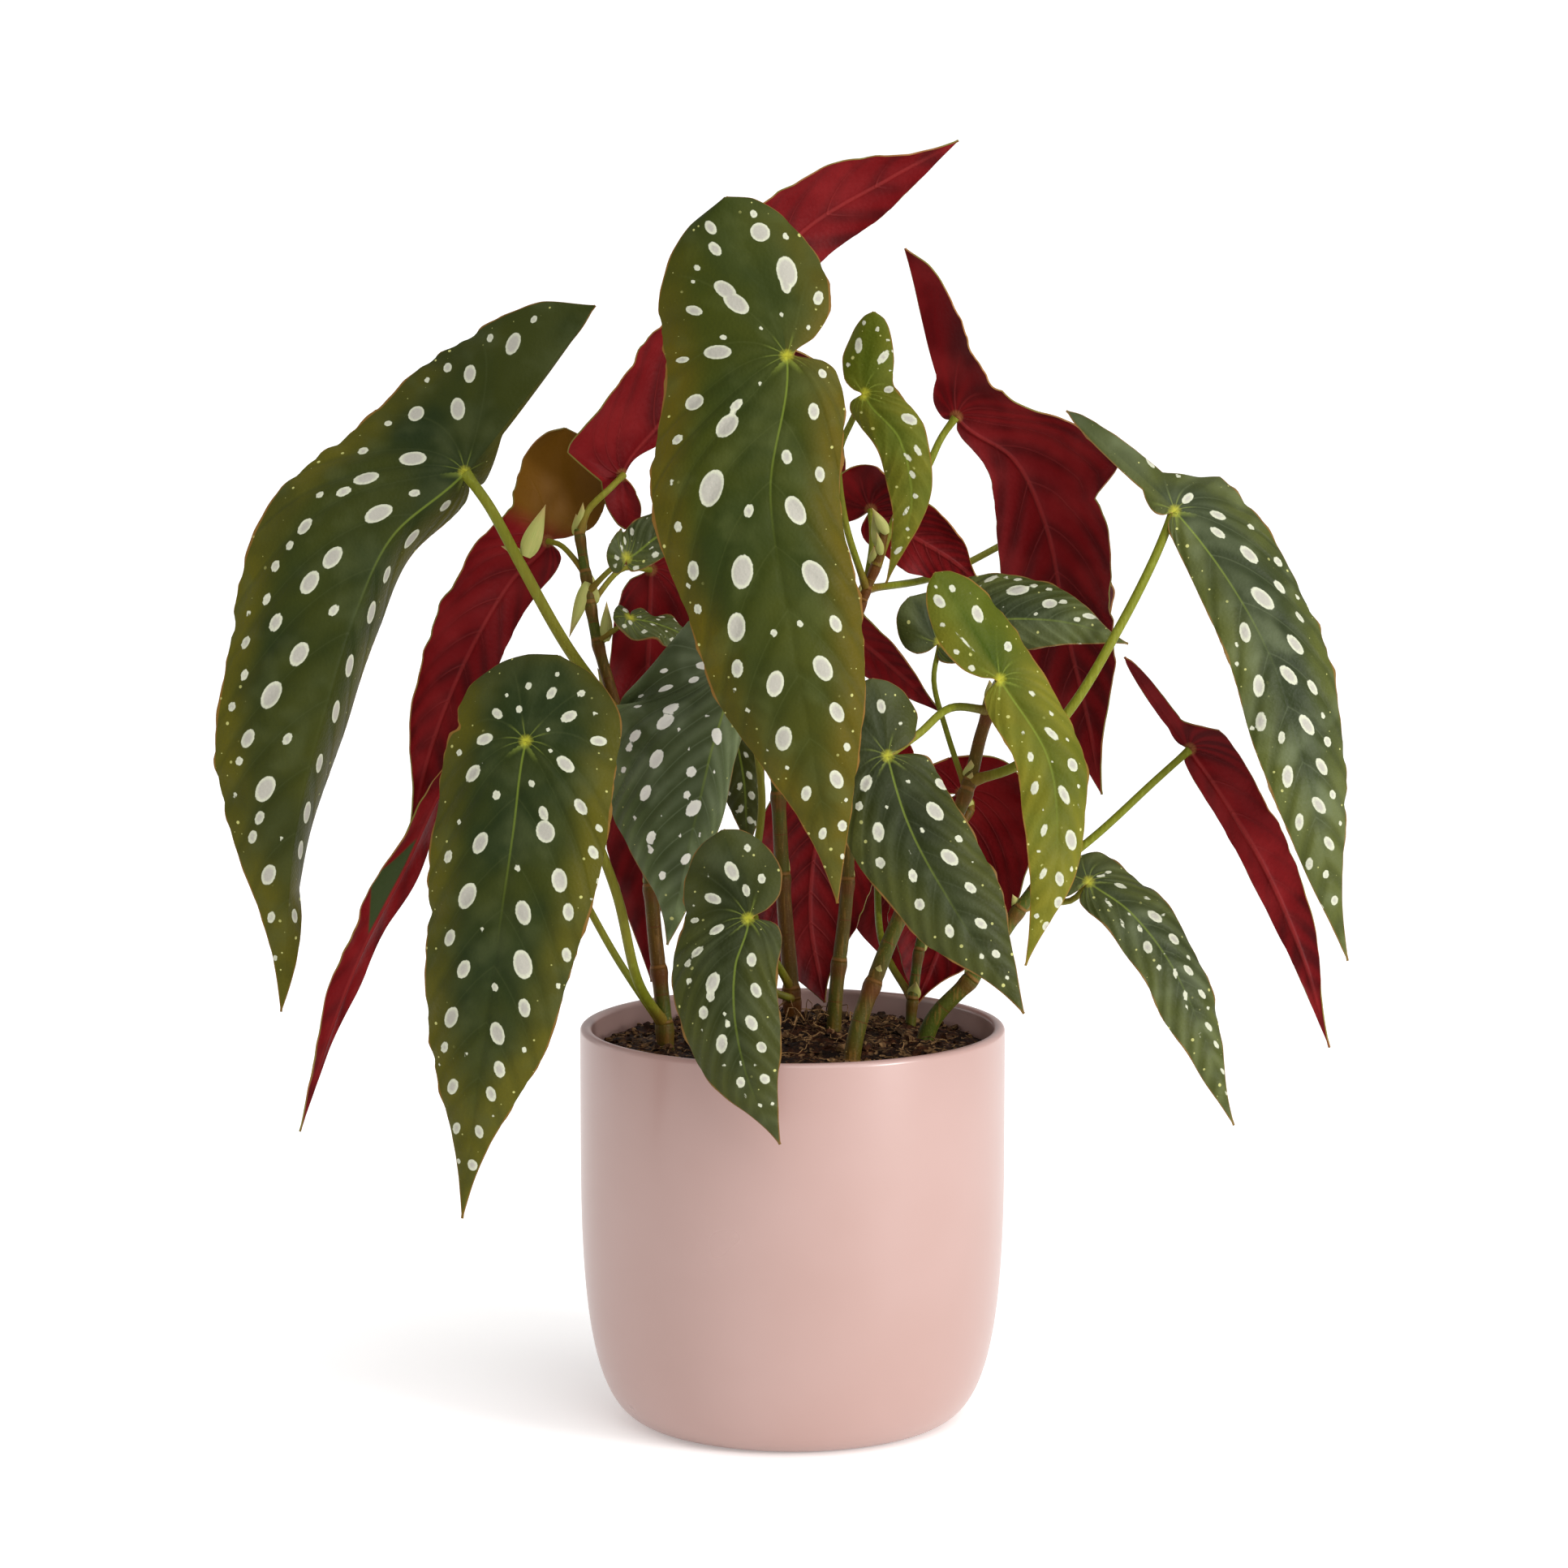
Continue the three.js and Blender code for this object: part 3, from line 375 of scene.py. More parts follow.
def tube(bm, route, radius_at, sides, rings, paint=None):
    """Adds a closed round tube along a route. radius_at(part) gives its radius, and
    paint(part, verts) sets the attributes of each ring."""
    heading = route.heading(0)
    turn = Vector((0, 0, 1)).rotation_difference(heading)
    place = Matrix.LocRotScale(route.at(0), turn, Vector.Fill(3, radius_at(0)))
    first = bmesh.ops.create_circle(bm, cap_ends=True, segments=sides, radius=1, matrix=place)["verts"]
    if paint:
        paint(0, first)
    faces = {face for vert in first for face in vert.link_faces}
    edges = list({edge for vert in first for edge in vert.link_edges})
    for ring in range(1, rings + 1):
        part = ring / rings
        ahead = route.heading(part)
        turn = heading.rotation_difference(ahead) @ turn
        heading = ahead
        new_place = Matrix.LocRotScale(route.at(part), turn, Vector.Fill(3, radius_at(part)))
        made = bmesh.ops.extrude_edge_only(bm, edges=edges)["geom"]
        verts = [item for item in made if isinstance(item, bmesh.types.BMVert)]
        faces.update(item for item in made if isinstance(item, bmesh.types.BMFace))
        edges = [
            item for item in made
            if isinstance(item, bmesh.types.BMEdge) and all(vert in verts for vert in item.verts)
        ]
        bmesh.ops.transform(bm, matrix=new_place @ place.inverted(), verts=verts)
        place = new_place
        if paint:
            paint(part, verts)
    faces.update(bmesh.ops.contextual_create(bm, geom=edges)["faces"])
    bmesh.ops.recalc_face_normals(bm, faces=list(faces))


# ---- leaf blades

# Half width of a blade against the place along its midrib: -1 is the end of the back lobe, 0 the
# stalk and 1 the tip. The wide half runs past the stalk, and the narrow one has the deep notch.
WIDE_HALF = (
    (-1, 0), (-0.93, 0.37), (-0.75, 0.66), (-0.5, 0.87), (-0.25, 0.95), (0, 0.98), (0.1, 1),
    (0.29, 0.94), (0.46, 0.79), (0.6, 0.68), (0.72, 0.44), (0.83, 0.2), (0.92, 0.07), (1, 0),
)
NARROW_HALF = (
    (-1, 0), (-0.93, 0.4), (-0.75, 0.75), (-0.45, 0.95), (-0.25, 0.82), (-0.1, 0.45),
    (-0.03, 0.14), (0, 0.1), (0.012, 0.5), (0.03, 0.68), (0.1, 0.85), (0.29, 0.97), (0.46, 1),
    (0.6, 0.91), (0.72, 0.66), (0.83, 0.42), (0.92, 0.19), (1, 0),
)

EDGE_WAVE = 0.015  # waviness of the blade's outline
BEND_REACH = 0.17  # part of the spine, each way, that a turn of the blade is spread over
HALF_PHASE = 0.4  # turns that the narrow half's waves are ahead of the wide half's
LOBE_EASE = 4  # the back lobe has its own width from a quarter of its length on
NECK_REACH = 0.22  # how far a neck narrows the blade beside its stalk
SHOULDER_AT = 0.27  # where the wide half of a shouldered blade starts to step in
SHOULDER_REACH = 0.04
FOLD_EASE = 5  # the fold flattens over the last fifth before each end of the blade
LEAST_HALF_WIDTH = 0.3  # in millimetres, as all that follow

# Small waves of the margin: turns per millimetre, how far they reach out and how far they lift.
MARGIN_WAVES = ((0.061, 0.4, 0.6), (0.13, 0.25, 0.3), (0.27, 0.08, 0))
WAVE_SHIFT = 0.37  # turns between one of these waves and the next, for each step of the seed
HALF_SHIFT = 0.21  # turns between the two halves' waves
WAVED_WIDTH = 18  # a half that is narrower than this has smaller waves
LULL = 0.019  # turns per millimetre with which the margin's waves come and go
LULL_DEPTH = 0.4
QUILT = 0.7  # how far the blade swells between two side veins
QUILTED_WIDTH = 15  # it swells less where it is narrower
VEIN_ROOM = 14  # and where its veins are closer together
GROOVE = 0.45  # depth of the midrib on the green side
GROOVE_WIDTH = 1.1

VEIN_SLANT = 0.9  # how far a side vein runs on for each millimetre out, beside the midrib
VEIN_SWEEP = 0.9  # and how much more of it at the margin
SWEPT_WIDTH = 6  # the veins of a narrower half sweep as if it were this wide
VEIN_SPACING = 0.115  # between side veins, as a part of the blade's length
VEIN_LEAN = 0.6  # the nearest way across that spacing, for the slant of the veins
RAY_ANGLE = math.radians(27)  # between the veins that fan out from the stalk
LAST_RAY = math.radians(175)

# Where a blade's rows lie closer together, at the stalk and at the two ends of its spine: how much
# closer, and how far that reaches as a part of the spine.
STALK_ROWS = (4, 0.025)
LOBE_ROWS = (3, 0.03)
TIP_ROWS = (1.5, 0.04)


def smooth_through(points, x):
    """Value at x of the smooth monotone curve through the points."""
    i = 0
    while i < len(points) - 2 and x > points[i + 1][0]:
        i += 1

    def slope(k):
        return (points[k + 1][1] - points[k][1]) / (points[k + 1][0] - points[k][0])

    def tangent(k):
        if k == 0:
            return slope(0)
        if k == len(points) - 1:
            return slope(k - 1)
        before, after = slope(k - 1), slope(k)
        return 0 if before * after <= 0 else 2 * before * after / (before + after)

    span = points[i + 1][0] - points[i][0]
    t = within((x - points[i][0]) / span)
    square, cube = t * t, t * t * t
    return (
        (2 * cube - 3 * square + 1) * points[i][1]
        + (cube - 2 * square + t) * span * tangent(i)
        + (3 * square - 2 * cube) * points[i + 1][1]
        + (cube - square) * span * tangent(i + 1)
    )


# What holds for a leaf unless its own row says otherwise. A pair is for its wide and narrow half.
LEAF_DEFAULTS = dict(
    wide_side=1,  # the wide half is the left one of the green side, and the right one where it is -1
    tip_face=None,  # the way the green side looks at the tip, where the blade is twisted
    fold=(6, 6),  # degrees by which a half is folded up beside the midrib
    curl=(-38, -34),  # and by which it then bends on its way to the margin
    wave=1.2,  # how far the margin rises and falls, in millimetres
    waves=4,  # and how many times
    lobe=(1, 1),  # width of the back lobe as a part of the usual
    notch=1,  # depth of the narrow half's notch beside the stalk
    neck=(0, 0),  # how much narrower the blade is around the stalk
    taper=1,  # the blade is fuller towards its tip where this is above 1
    lobe_taper=1,  # and the back lobe slimmer where this is below 1
    shoulder=1,  # width of the wide half past its shoulder as a part of the usual
)


class Row:
    """One crosswise line of a blade. Its pairs hold the wide half first."""

    def __init__(self, blade, along):
        self.along = along
        self.centre, self.across, self.normal = blade.frame_at(along)
        self.travel = (blade.length_at(along) - blade.stalk_at) * blade.route.total
        self.shapes = [blade.shape_at(along, half) for half in (0, 1)]
        self.halves = [
            max(width * shape, LEAST_HALF_WIDTH)
            for width, shape in zip((blade.wide, blade.narrow), self.shapes)
        ]
        self.turns = [blade.waves * blade.length_at(along) + shift for shift in (0, HALF_PHASE)]


class Blade:
    """The middle surface of a leaf. Its spine runs from the end of the back lobe, through the stalk,
    its second point, to the tip. Face is the way the green side looks."""

    def __init__(self, leaf):
        for name, given in (LEAF_DEFAULTS | leaf).items():
            setattr(self, name, given)
        self.route = Route(self.spine)
        self.stalk_at = self.route.lengths[Route.SAMPLES] / self.route.total
        self.face_at_stalk = Vector(self.face).normalized()
        self.face_at_tip = Vector(self.tip_face or self.face).normalized()
        # The letters of its name make every blade a little different, and the same on each run.
        self.seed = sum(ord(letter) * (k + 1) for k, letter in enumerate(self.name))
        self.ahead = (1 - self.stalk_at) * self.route.total
        self.behind = self.stalk_at * self.route.total

    def length_at(self, along):
        """Part of the spine's length that lies behind a place along it."""
        if along < 0:
            return self.stalk_at * (1 + along)
        return self.stalk_at + (1 - self.stalk_at) * along

    def along_at(self, part):
        """The place along the blade, from -1 to 1, at a part of the spine's length."""
        if part < self.stalk_at:
            return part / self.stalk_at - 1
        return (part - self.stalk_at) / (1 - self.stalk_at)

    def frame_at(self, along):
        """Point on the midrib, the way across to the left of the green side, and its normal."""
        part = self.length_at(along)
        heading = self.route.heading(part, BEND_REACH)
        normal = self.face_at_stalk.lerp(self.face_at_tip, max(along, 0))
        normal = (normal - heading * normal.dot(heading)).normalized()
        return self.route.at(part), heading.cross(normal), normal

    def shape_at(self, along, half):
        """Half width at a place along, as a part of the widest: half is 0 for the wide one."""
        place = along ** self.taper if along > 0 else -((-along) ** self.lobe_taper)
        shape = smooth_through(WIDE_HALF, place)
        if half == 1:
            shape += self.notch * (smooth_through(NARROW_HALF, place) - shape)
        lobe = 1 + (self.lobe[half] - 1) * within(-LOBE_EASE * along)
        neck = 1 - self.neck[half] * bell(along, NECK_REACH)
        past = within((along - SHOULDER_AT) / SHOULDER_REACH) if half == 0 else 0
        return shape * lobe * neck * (1 + (self.shoulder - 1) * past)

    def half_width_at(self, x, y):
        """Half width, in millimetres, at x along the midrib on the side that y lies on."""
        half = 0 if y * self.wide_side > 0 else 1
        along = x / (self.ahead if x > 0 else self.behind)
        return (self.wide, self.narrow)[half] * self.shape_at(within(along, -1), half)

    def vein_at(self, x, y, half_width):
        """Number of the side vein at a place, between whole numbers, and millimetres to a vein.
        x is along the midrib from the stalk and y out from it."""
        spacing = VEIN_SPACING * self.ahead
        swept = x - VEIN_SWEEP * y * y / max(half_width, SWEPT_WIDTH)
        run = swept - VEIN_SLANT * y
        if run > 0:
            return run / spacing, VEIN_LEAN * spacing
        first_ray = math.atan2(1, VEIN_SLANT)
        ray = min(math.atan2(y, swept), LAST_RAY) if y > 0 else LAST_RAY
        return (first_ray - ray) / RAY_ANGLE, max(math.hypot(x, y), 1) * RAY_ANGLE

    def point_at(self, row, across):
        """Place of a point of the middle surface, and its marks."""
        sign = 1 if across >= 0 else -1
        half = 0 if sign == self.wide_side else 1
        out = abs(across)
        ripple = sine(row.turns[half])
        full = row.halves[half]
        reach = full * out * (1 + EDGE_WAVE * ripple * out)
        lift = self.wave * ripple * out * out * row.shapes[half]
        ends = min(row.shapes[half] * 2, full / WAVED_WIDTH, 1)
        lull = 1 - LULL_DEPTH * (1 - math.sin(2 * math.pi * LULL * row.travel + self.seed + half))
        for k, (pitch, stretch, rise) in enumerate(MARGIN_WAVES):
            swing = sine(pitch * row.travel + WAVE_SHIFT * k * self.seed + HALF_SHIFT * half)
            reach += stretch * swing * out ** 3 * ends * lull
            lift += rise * swing * out ** 4 * ends * lull
        vein, pitch = self.vein_at(row.travel, reach, full)
        room = min(full / QUILTED_WIDTH, 1) * min(pitch / VEIN_ROOM, 1) ** 2
        lift -= QUILT / 2 * math.cos(2 * math.pi * vein) * 4 * out * (1 - out) * ends * room
        if row.along > 0:
            lift -= GROOVE * bell(reach, GROOVE_WIDTH) * (1 - row.along)
        fold = self.fold[half] * min(FOLD_EASE * (1 - abs(row.along)), 1)
        bend = math.radians(fold + self.curl[half] * out / 2)
        point = (
            row.centre
            + row.across * (sign * reach * math.cos(bend))
            + row.normal * (reach * math.sin(bend) + lift)
        )
        return point, (row.travel, sign * reach, full - reach), (vein, pitch)


def row_places(blade, step):
    """Places along the blade: evenly spaced, and closer beside the stalk and at both its ends."""
    fine = np.linspace(0, 1, 2001)
    density = np.ones(len(fine))
    for place, (extra, reach) in ((blade.stalk_at, STALK_ROWS), (0, LOBE_ROWS), (1, TIP_ROWS)):
        density += extra * np.exp(-(((fine - place) / reach) ** 2))
    total = np.concatenate(([0], np.cumsum((density[1:] + density[:-1]) / 2)))
    count = round(blade.route.total / step * total[-1] / len(fine))
    parts = np.interp(np.linspace(0, total[-1], count + 1), total, fine)
    return [blade.along_at(float(part)) for part in parts]


# ---- spots

SPOT_ROUNDNESS = 0.62  # width of a spot as a part of its length
SMALL_SPOT = 2.0  # a spot of less than this half length is rounder
SMALL_ROUNDNESS = 0.82
SPOT_TILT = 0.6  # how far a spot turns from the midrib towards its vein
RAY_TILT = 0.75  # and towards the stalk, where the veins fan out from it

# Scattered spots, in half lengths of a big one.
SPOT_TRACK = 3.6  # between lines of spots
SPOT_PITCH = 4.2  # between spots of a line
FULL_SIZE_WIDTH = 3.2  # where the blade's half is narrower than this, its spots are smaller
EDGE_CLEARANCE = 0.8  # from a spot's middle to the midrib and the margin, in its own half lengths
STALK_CLEARANCE = 2.2

# The spots of the leaves that show their green side, listed one by one: x along the midrib from the
# stalk, y to the left of it, half length and, for an odd one, half width, in millimetres.
SPOTS = {
    "leaf_front_large": (
        (-46.5, 8, 2.5), (-39.5, 9.5, 2.6), (-39.5, -5.5, 3, 3), (-45.5, -6, 1.3), (-36, -12.5, 1.2),
        (-25.5, -8, 5), (-21.5, -6, 2.5), (-16, -14.5, 2.4), (-25.5, 12, 4), (-20, 10.5, 4.5),
        (-22, 23.5, 2.8), (-32, 20, 0.8), (-36, 17, 1.2), (-4.5, 21, 4.4), (-9.5, 18, 1.2),
        (-10, 6, 0.8), (-4.6, 32.5, 2.2), (-8, -8.5, 0.8), (-13, -1.5, 0.8), (13, 28.6, 3, 3),
        (15.6, 15, 2.5), (22.5, 16.5, 4.2, 3.2), (26, 31.5, 1.9), (8.5, 8.5, 0.8), (6, -11, 1.5),
        (18, -9.5, 2.8), (33, -4, 2.5), (38, -15.2, 2.5), (42.8, 18.3, 5.8), (40.5, 31, 1),
        (50, 7, 2.3), (50, -7.5, 4.8), (53.5, 29.5, 1.6), (68, 11.5, 5.2), (66, 26.6, 2.9),
        (70, 29, 1), (72, -10.5, 5.8), (88, -14, 2.9), (84, 16.5, 4.5), (77, 27.5, 1.6),
        (87.5, 5.5, 1.3), (86, -3, 1.2), (96.5, 18.5, 2.9), (103, 7.7, 4.2), (101, -7.7, 4.3),
        (110, 17.5, 1), (103, 20.5, 0.8), (115.5, -9.7, 3.4), (120.5, 8, 4), (127, -11, 1.4),
        (136.5, -6, 3.2), (130, 8.5, 0.9), (139, 4, 2.5), (123.5, 13.5, 0.7), (152, -5.5, 1.9),
        (153, 1, 2), (144, -8, 0.8), (162, -4, 1),
    ),
    "leaf_left_large": (
        (-54, 14.5, 1.4), (-43.5, 15.2, 4), (-41, 24, 1.5), (-27, 21.5, 3.4), (-24.5, 30, 1.9),
        (-17, 33, 1.2), (-15, 16.5, 4), (-6, 27.5, 2.7, 2.7), (1.5, 33, 1.3), (6.5, 16.3, 4.2),
        (20.5, 21.7, 3.9), (28, 23.6, 2.5), (13, 31.7, 1.7), (32.5, 29.5, 1.4), (43, 27.7, 3),
        (50, 29.6, 1.6), (28.5, 8.7, 4.6), (16, 5.8, 1.8), (47.8, 13.9, 4.1), (57.5, 17.9, 4),
        (57, 31.5, 1.8), (66.5, 30.3, 2), (72, 35, 1), (72, 24.4, 3), (62.5, 6.8, 2.2),
        (78.8, 13.3, 4.2), (80.5, 32.8, 2.2), (90, 29.6, 2), (93.5, 18.5, 4.8), (100.5, 30.5, 1.6),
        (108.5, 22, 3.2), (105.3, 9.2, 2.2), (116, 23, 1.5), (122.5, 12.2, 4.6), (127, 22, 1),
        (132, 12.2, 2.4), (138.5, 13.5, 2.3), (137, 4, 0.8), (149.5, 6.8, 3.6), (163.5, 5, 2),
        (177, 3, 1), (12, -6, 2.5), (28, -9, 4), (43, -9, 3), (57, -9, 4), (77, -7, 4), (93, -7, 4),
        (111, -6, 3.5), (128, -6, 4), (141, -6, 3.5), (163, -4, 2.5),
    ),
    "leaf_left_front": (
        (-17.5, 5.3, 1.3), (-17, -2.7, 2.3), (-23.5, -2, 0.9), (-19.5, -11.5, 1.5), (-14, -18, 1),
        (-10.8, -10.8, 2.8), (-9.5, 5.3, 1.3), (-6.8, 11.8, 2.2), (-13, 11, 0.8), (1.9, 13.4, 2.8),
        (7, 21.5, 1.2), (12.7, 15.5, 3.2), (-5, -6, 0.8), (-5.6, -21.8, 2.6), (4.8, -14, 3.3),
        (1.5, -8.5, 0.8), (13.1, -4.4, 1.3), (18.4, 6.7, 1.6), (17.9, -20.6, 2.9), (22, -9.2, 2.4),
        (27.7, -10.4, 3.6, 3), (33.8, 10.1, 3.7), (23.9, -26.8, 1.4), (32.1, -25.6, 2.3),
        (27.9, 18.6, 1), (39.2, 20.5, 2.3), (40.2, -3.2, 1.2), (42.3, -16.7, 3.8), (41, -28.5, 1.1),
        (51, 12, 4.5), (53.7, -7.1, 3.9), (51.6, -21, 2.8), (60.9, 5.6, 0.9), (65.2, 16, 2.9),
        (69.6, -9.1, 4.6), (64.8, -22, 2.3), (47, -27.5, 0.8), (74.2, 9.6, 3.2), (78.1, -1.3, 1.4),
        (74.9, -20.5, 1), (83, -11.5, 3), (90.4, 11.8, 3.7), (92.4, -4.2, 3.7), (100.5, 12.8, 2),
        (101, 5, 0.8), (96.2, -13.2, 1), (103.6, -6.3, 2.7), (112.4, 8.2, 2.8), (112.1, -4.6, 2.5),
        (126, 5.4, 2.2), (125.2, -2.3, 2.2), (137, 3.5, 1), (137, -1.3, 1.9), (119, -6, 0.6),
        (106.5, 14, 0.7), (12, 15, 4, 0.3),
    ),
    "leaf_left_inner": (
        (-4, 6.5, 2.5), (0, 11.3, 1.8), (-1, 21.5, 2.8), (-10, 18, 1.5), (-4, 31, 1.2),
        (14.4, 17, 3.2), (20.5, 17.3, 3.6), (14, 29, 1.6), (27.3, 26.3, 2.7), (31.7, 27.4, 1.5),
        (39, 27.7, 1.2), (33.5, 16.9, 3.4), (35.1, 4.6, 1.9), (44.8, 18, 2.8), (42.5, 4.3, 1.4),
        (46.2, 1.3, 3.1), (53.7, 20, 1), (50.5, 11, 0.6), (55.5, 3.4, 0.8), (54, -3, 0.8),
        (58.5, 12.8, 2.4), (62.5, 12, 1.3), (62.5, 0, 2.1), (69.5, 6.3, 1.5), (22, -0.5, 2.8),
        (28, 7, 0.7), (22.5, 12, 0.9), (16, 4.5, 0.9), (24, 33, 0.6), (33, -3, 0.7),
    ),
    "leaf_front_small": (
        (-16, 1.5, 3.3), (-21.5, -5.5, 1.3), (-11.5, -6.7, 1.5), (-9, -1, 2), (-8.5, 10, 3),
        (-1, 17.5, 1.5), (3.7, 9.6, 2.6), (12, 13.4, 2.4), (16, 15.5, 1.4), (21.5, 14.5, 1.2),
        (14, -4.6, 2.4), (22, 6.6, 3.3), (26, 7.2, 1.7), (24, -7, 2.6), (30.5, 9.7, 1.9),
        (31.5, 3, 0.8), (34.5, 2.4, 1.1), (35, -5, 2.7), (40, 5.2, 2.9), (43.5, -6.8, 1.9),
        (47, 0.8, 0.8), (46.5, 6, 0.7), (48.5, -3.5, 0.6), (35.5, 11, 0.7), (52.6, 2.4, 1.7),
        (54, -5, 1.8), (57, 2.5, 0.7), (61.5, -0.5, 0.8), (62.5, -4, 0.7), (-8, 17, 0.7),
        (-17, 9, 0.7),
    ),
    "leaf_right_front": (
        (-16, -1.3, 2.3), (-9.5, -6.5, 0.8), (13, -15.5, 2.7), (9.8, -4.3, 0.9), (22, -9.7, 3.8),
        (15.8, 4.7, 0.8), (7, 9, 2.8), (22, 9.8, 3), (13, 13, 1.5), (26.5, -3.3, 1), (34, -13, 1.5),
        (38.4, -7.2, 3.4), (31.5, 3.6, 0.7), (30.5, 13, 1.8), (38.3, 6.1, 2.2), (50.5, -8, 2.3),
        (46.8, 8.7, 1.9), (43.5, -13.5, 0.6), (39, 14, 0.7), (62, -4.7, 2.3), (58.6, 5, 2.2),
        (72.8, -3.3, 1.5), (70.8, 1, 1), (51.5, 1.5, 0.6), (54, -3, 0.6), (81, -2, 0.8),
    ),
    "leaf_right_large": (
        (-39, -6, 1.9), (-26, -8, 1.8), (-17, -7, 2.2, 1.1), (-0.5, -6.5, 2.6, 1.3), (-8, -11, 1.1),
        (9.5, -11, 2.8, 1.4), (14, -6.7, 2.8, 1.4), (25, -11.5, 3.7, 1.9), (18, -19, 1.3),
        (31, -21, 1.8), (38, -15.5, 2.6, 1.3), (43, -21, 1.1), (49, -17, 2.3, 1.1),
        (39, -7, 4.7, 2.4), (56.4, -10, 3.9, 1.9), (64.7, -3.5, 3.9, 1.9), (71, -10.5, 2.8, 1.4),
        (46.5, 4.5, 3.5, 1.8), (64.5, 7.5, 3.7, 1.9), (81.7, -4.7, 3.9, 1.9), (96, -6.2, 3.2, 1.6),
        (80.5, -11.5, 1.1), (89, -11, 1.8), (76, 10, 3.2, 1.6), (83, 5, 2.1, 1.1),
        (95.7, 6.5, 3.7, 1.9), (107.8, -2, 3.4, 1.7), (106, -8, 1.6), (111, 6, 2.8, 1.4),
        (116, -8.5, 0.9), (121, -2.5, 2.7, 1.4), (125.5, 5.5, 2.1, 1.1), (130.5, 1, 1.4),
        (140, 0, 1.6), (141, 5, 1.3), (49, 9, 0.9), (55, 11.5, 0.9), (77, 13, 0.9),
    ),
    "leaf_right_bright": (
        (-31.5, 3.5, 2.4), (-32.7, -2.3, 1.3), (-21.5, -5.1, 3), (-7.5, -8.4, 1.8), (-15, 7.5, 1.1),
        (-24.5, 6.4, 0.9), (-8, 6, 1.2), (-28, -7, 0.7), (-36, 2, 0.6), (-16, 3.4, 4, 0.4),
        (9, -6.5, 1.3, 0.8), (22.7, -4.6, 2.8, 1.2), (17, -8.5, 1), (26, -8.9, 0.8),
        (33.5, -7.5, 2.1, 1.8), (27.3, 5.4, 1.8, 1), (38, 6.5, 2.4, 1.2), (41.8, -2.8, 3.3, 1.4),
        (40, -8.4, 0.8), (45.5, -8, 0.7), (55.7, -4.9, 3.2, 2.1), (52.8, 4.6, 2.3, 1),
        (64.5, -5.8, 0.9), (68, -1.9, 2.3), (67, 3.8, 2.2, 0.9), (75.3, -3.2, 1.9), (83.5, -1.6, 1.5),
        # On the next line, (-16, 3.4, 4, 0.4) is no spot but a painted highlight: a thin pale streak
        # beside the midrib.
        (60, 6.2, 0.8), (81, 2.5, 1), (45.7, 4.6, 0.6), (19, 3.7, 0.8), (31, -0.8, 0.6),
    ),
    "leaf_top_bright": (
        (-15.7, 2.9, 2.6, 1.2), (-12.3, -5.6, 3, 1.3), (-23, 2.6, 0.8), (-21.5, -2.1, 0.9),
        (-17.5, 7.4, 0.7), (-9.8, 5.2, 0.9), (-18.3, -6, 0.8), (-14.5, -8.4, 0.7), (-7, -8.4, 0.7),
        (1.5, -7.8, 1.6, 1.5), (14.7, -6.1, 2.6, 1.8), (24.4, -4.2, 1.8, 0.9), (25.3, -0.6, 1.8, 0.7),
        (31, -0.9, 1.5, 0.8), (38, -1.2, 1), (43, 1.5, 2, 0.6), (49, -0.3, 0.8),
        (47.5, 5.5, 1.5, 0.6), (52.5, 4.6, 1.4, 0.6), (57, 0.5, 1.7, 0.8), (57, 3.2, 0.8),
    ),
    "leaf_right_grey": (
        (27.6, -10.6, 3.2, 2), (37.3, -6, 2.4, 1.8), (50.3, -4.2, 2.2, 1.1), (46.7, -1.8, 1.1),
        (41.5, -7.5, 1.2), (20.5, -16.5, 2.3, 1), (24.5, -16.5, 0.8), (27.5, -15.3, 1.3, 0.7),
        (32, -13, 1.1), (36.5, -12, 1), (33.3, -1.8, 0.8), (23.2, -4, 0.6), (16, -13, 1.7, 0.9),
        (54, -4.5, 0.6), (50, 6, 1.6, 0.6), (60, 3, 1), (8, -9, 2),
    ),
    "leaf_right_low": (
        (2.3, -7.5, 1.2, 0.6), (8.4, -5.7, 2.1, 1), (1.5, -4.4, 1.6, 0.5), (17.5, -8.3, 1.4, 0.7),
        (23.5, -5.5, 2.8, 1.6), (32.7, -6.2, 2.2, 1.6), (25, -9.1, 0.8), (43.6, -4.6, 2.2, 1.2),
        (40.2, -7.3, 1), (52.4, -5.3, 1.9, 1), (57.5, -5.5, 0.8), (63, -2.9, 1.9, 0.9),
        (69.5, -3.2, 1.5, 0.8), (78.5, -2.2, 1.3, 0.6), (86, -1.2, 1, 0.5), (10, 2.6, 2.2, 0.6),
        (18, 5.1, 1.8, 0.6), (17.4, 0.9, 1, 0.5), (23.3, 1.8, 1.6, 0.8), (29.8, 3.6, 2.3, 1.5),
        (37.6, 4.5, 1.1), (42.2, 0.3, 1.8, 0.9), (50.2, 0.6, 1.9, 0.9), (54, 2, 1.3, 0.5),
        (64, 1.3, 1, 0.4), (35, -0.5, 0.7),
    ),
}


def vein_turn(blade, x, y, half_width):
    """Direction in which a spot lies, as an angle from the midrib, for y out from the midrib."""
    sweep = VEIN_SWEEP * y / max(half_width, SWEPT_WIDTH)
    if x > (VEIN_SLANT + sweep) * y:
        return SPOT_TILT * math.atan2(1, VEIN_SLANT + 2 * sweep)
    return math.atan2(y, x) * (RAY_TILT if x > 0 else 1)


def placed_spots(blade):
    """The blade's own spots as x, y, half length, half width and turn."""
    spots = []
    for x, y, half_length, *rest in SPOTS[blade.name]:
        half_width = blade.half_width_at(x, y)
        turn = math.copysign(vein_turn(blade, x, abs(y), half_width), y)
        roundness = SPOT_ROUNDNESS if half_length >= SMALL_SPOT else SMALL_ROUNDNESS
        spots.append((x, y, half_length, rest[0] if rest else roundness * half_length, turn))
    return spots


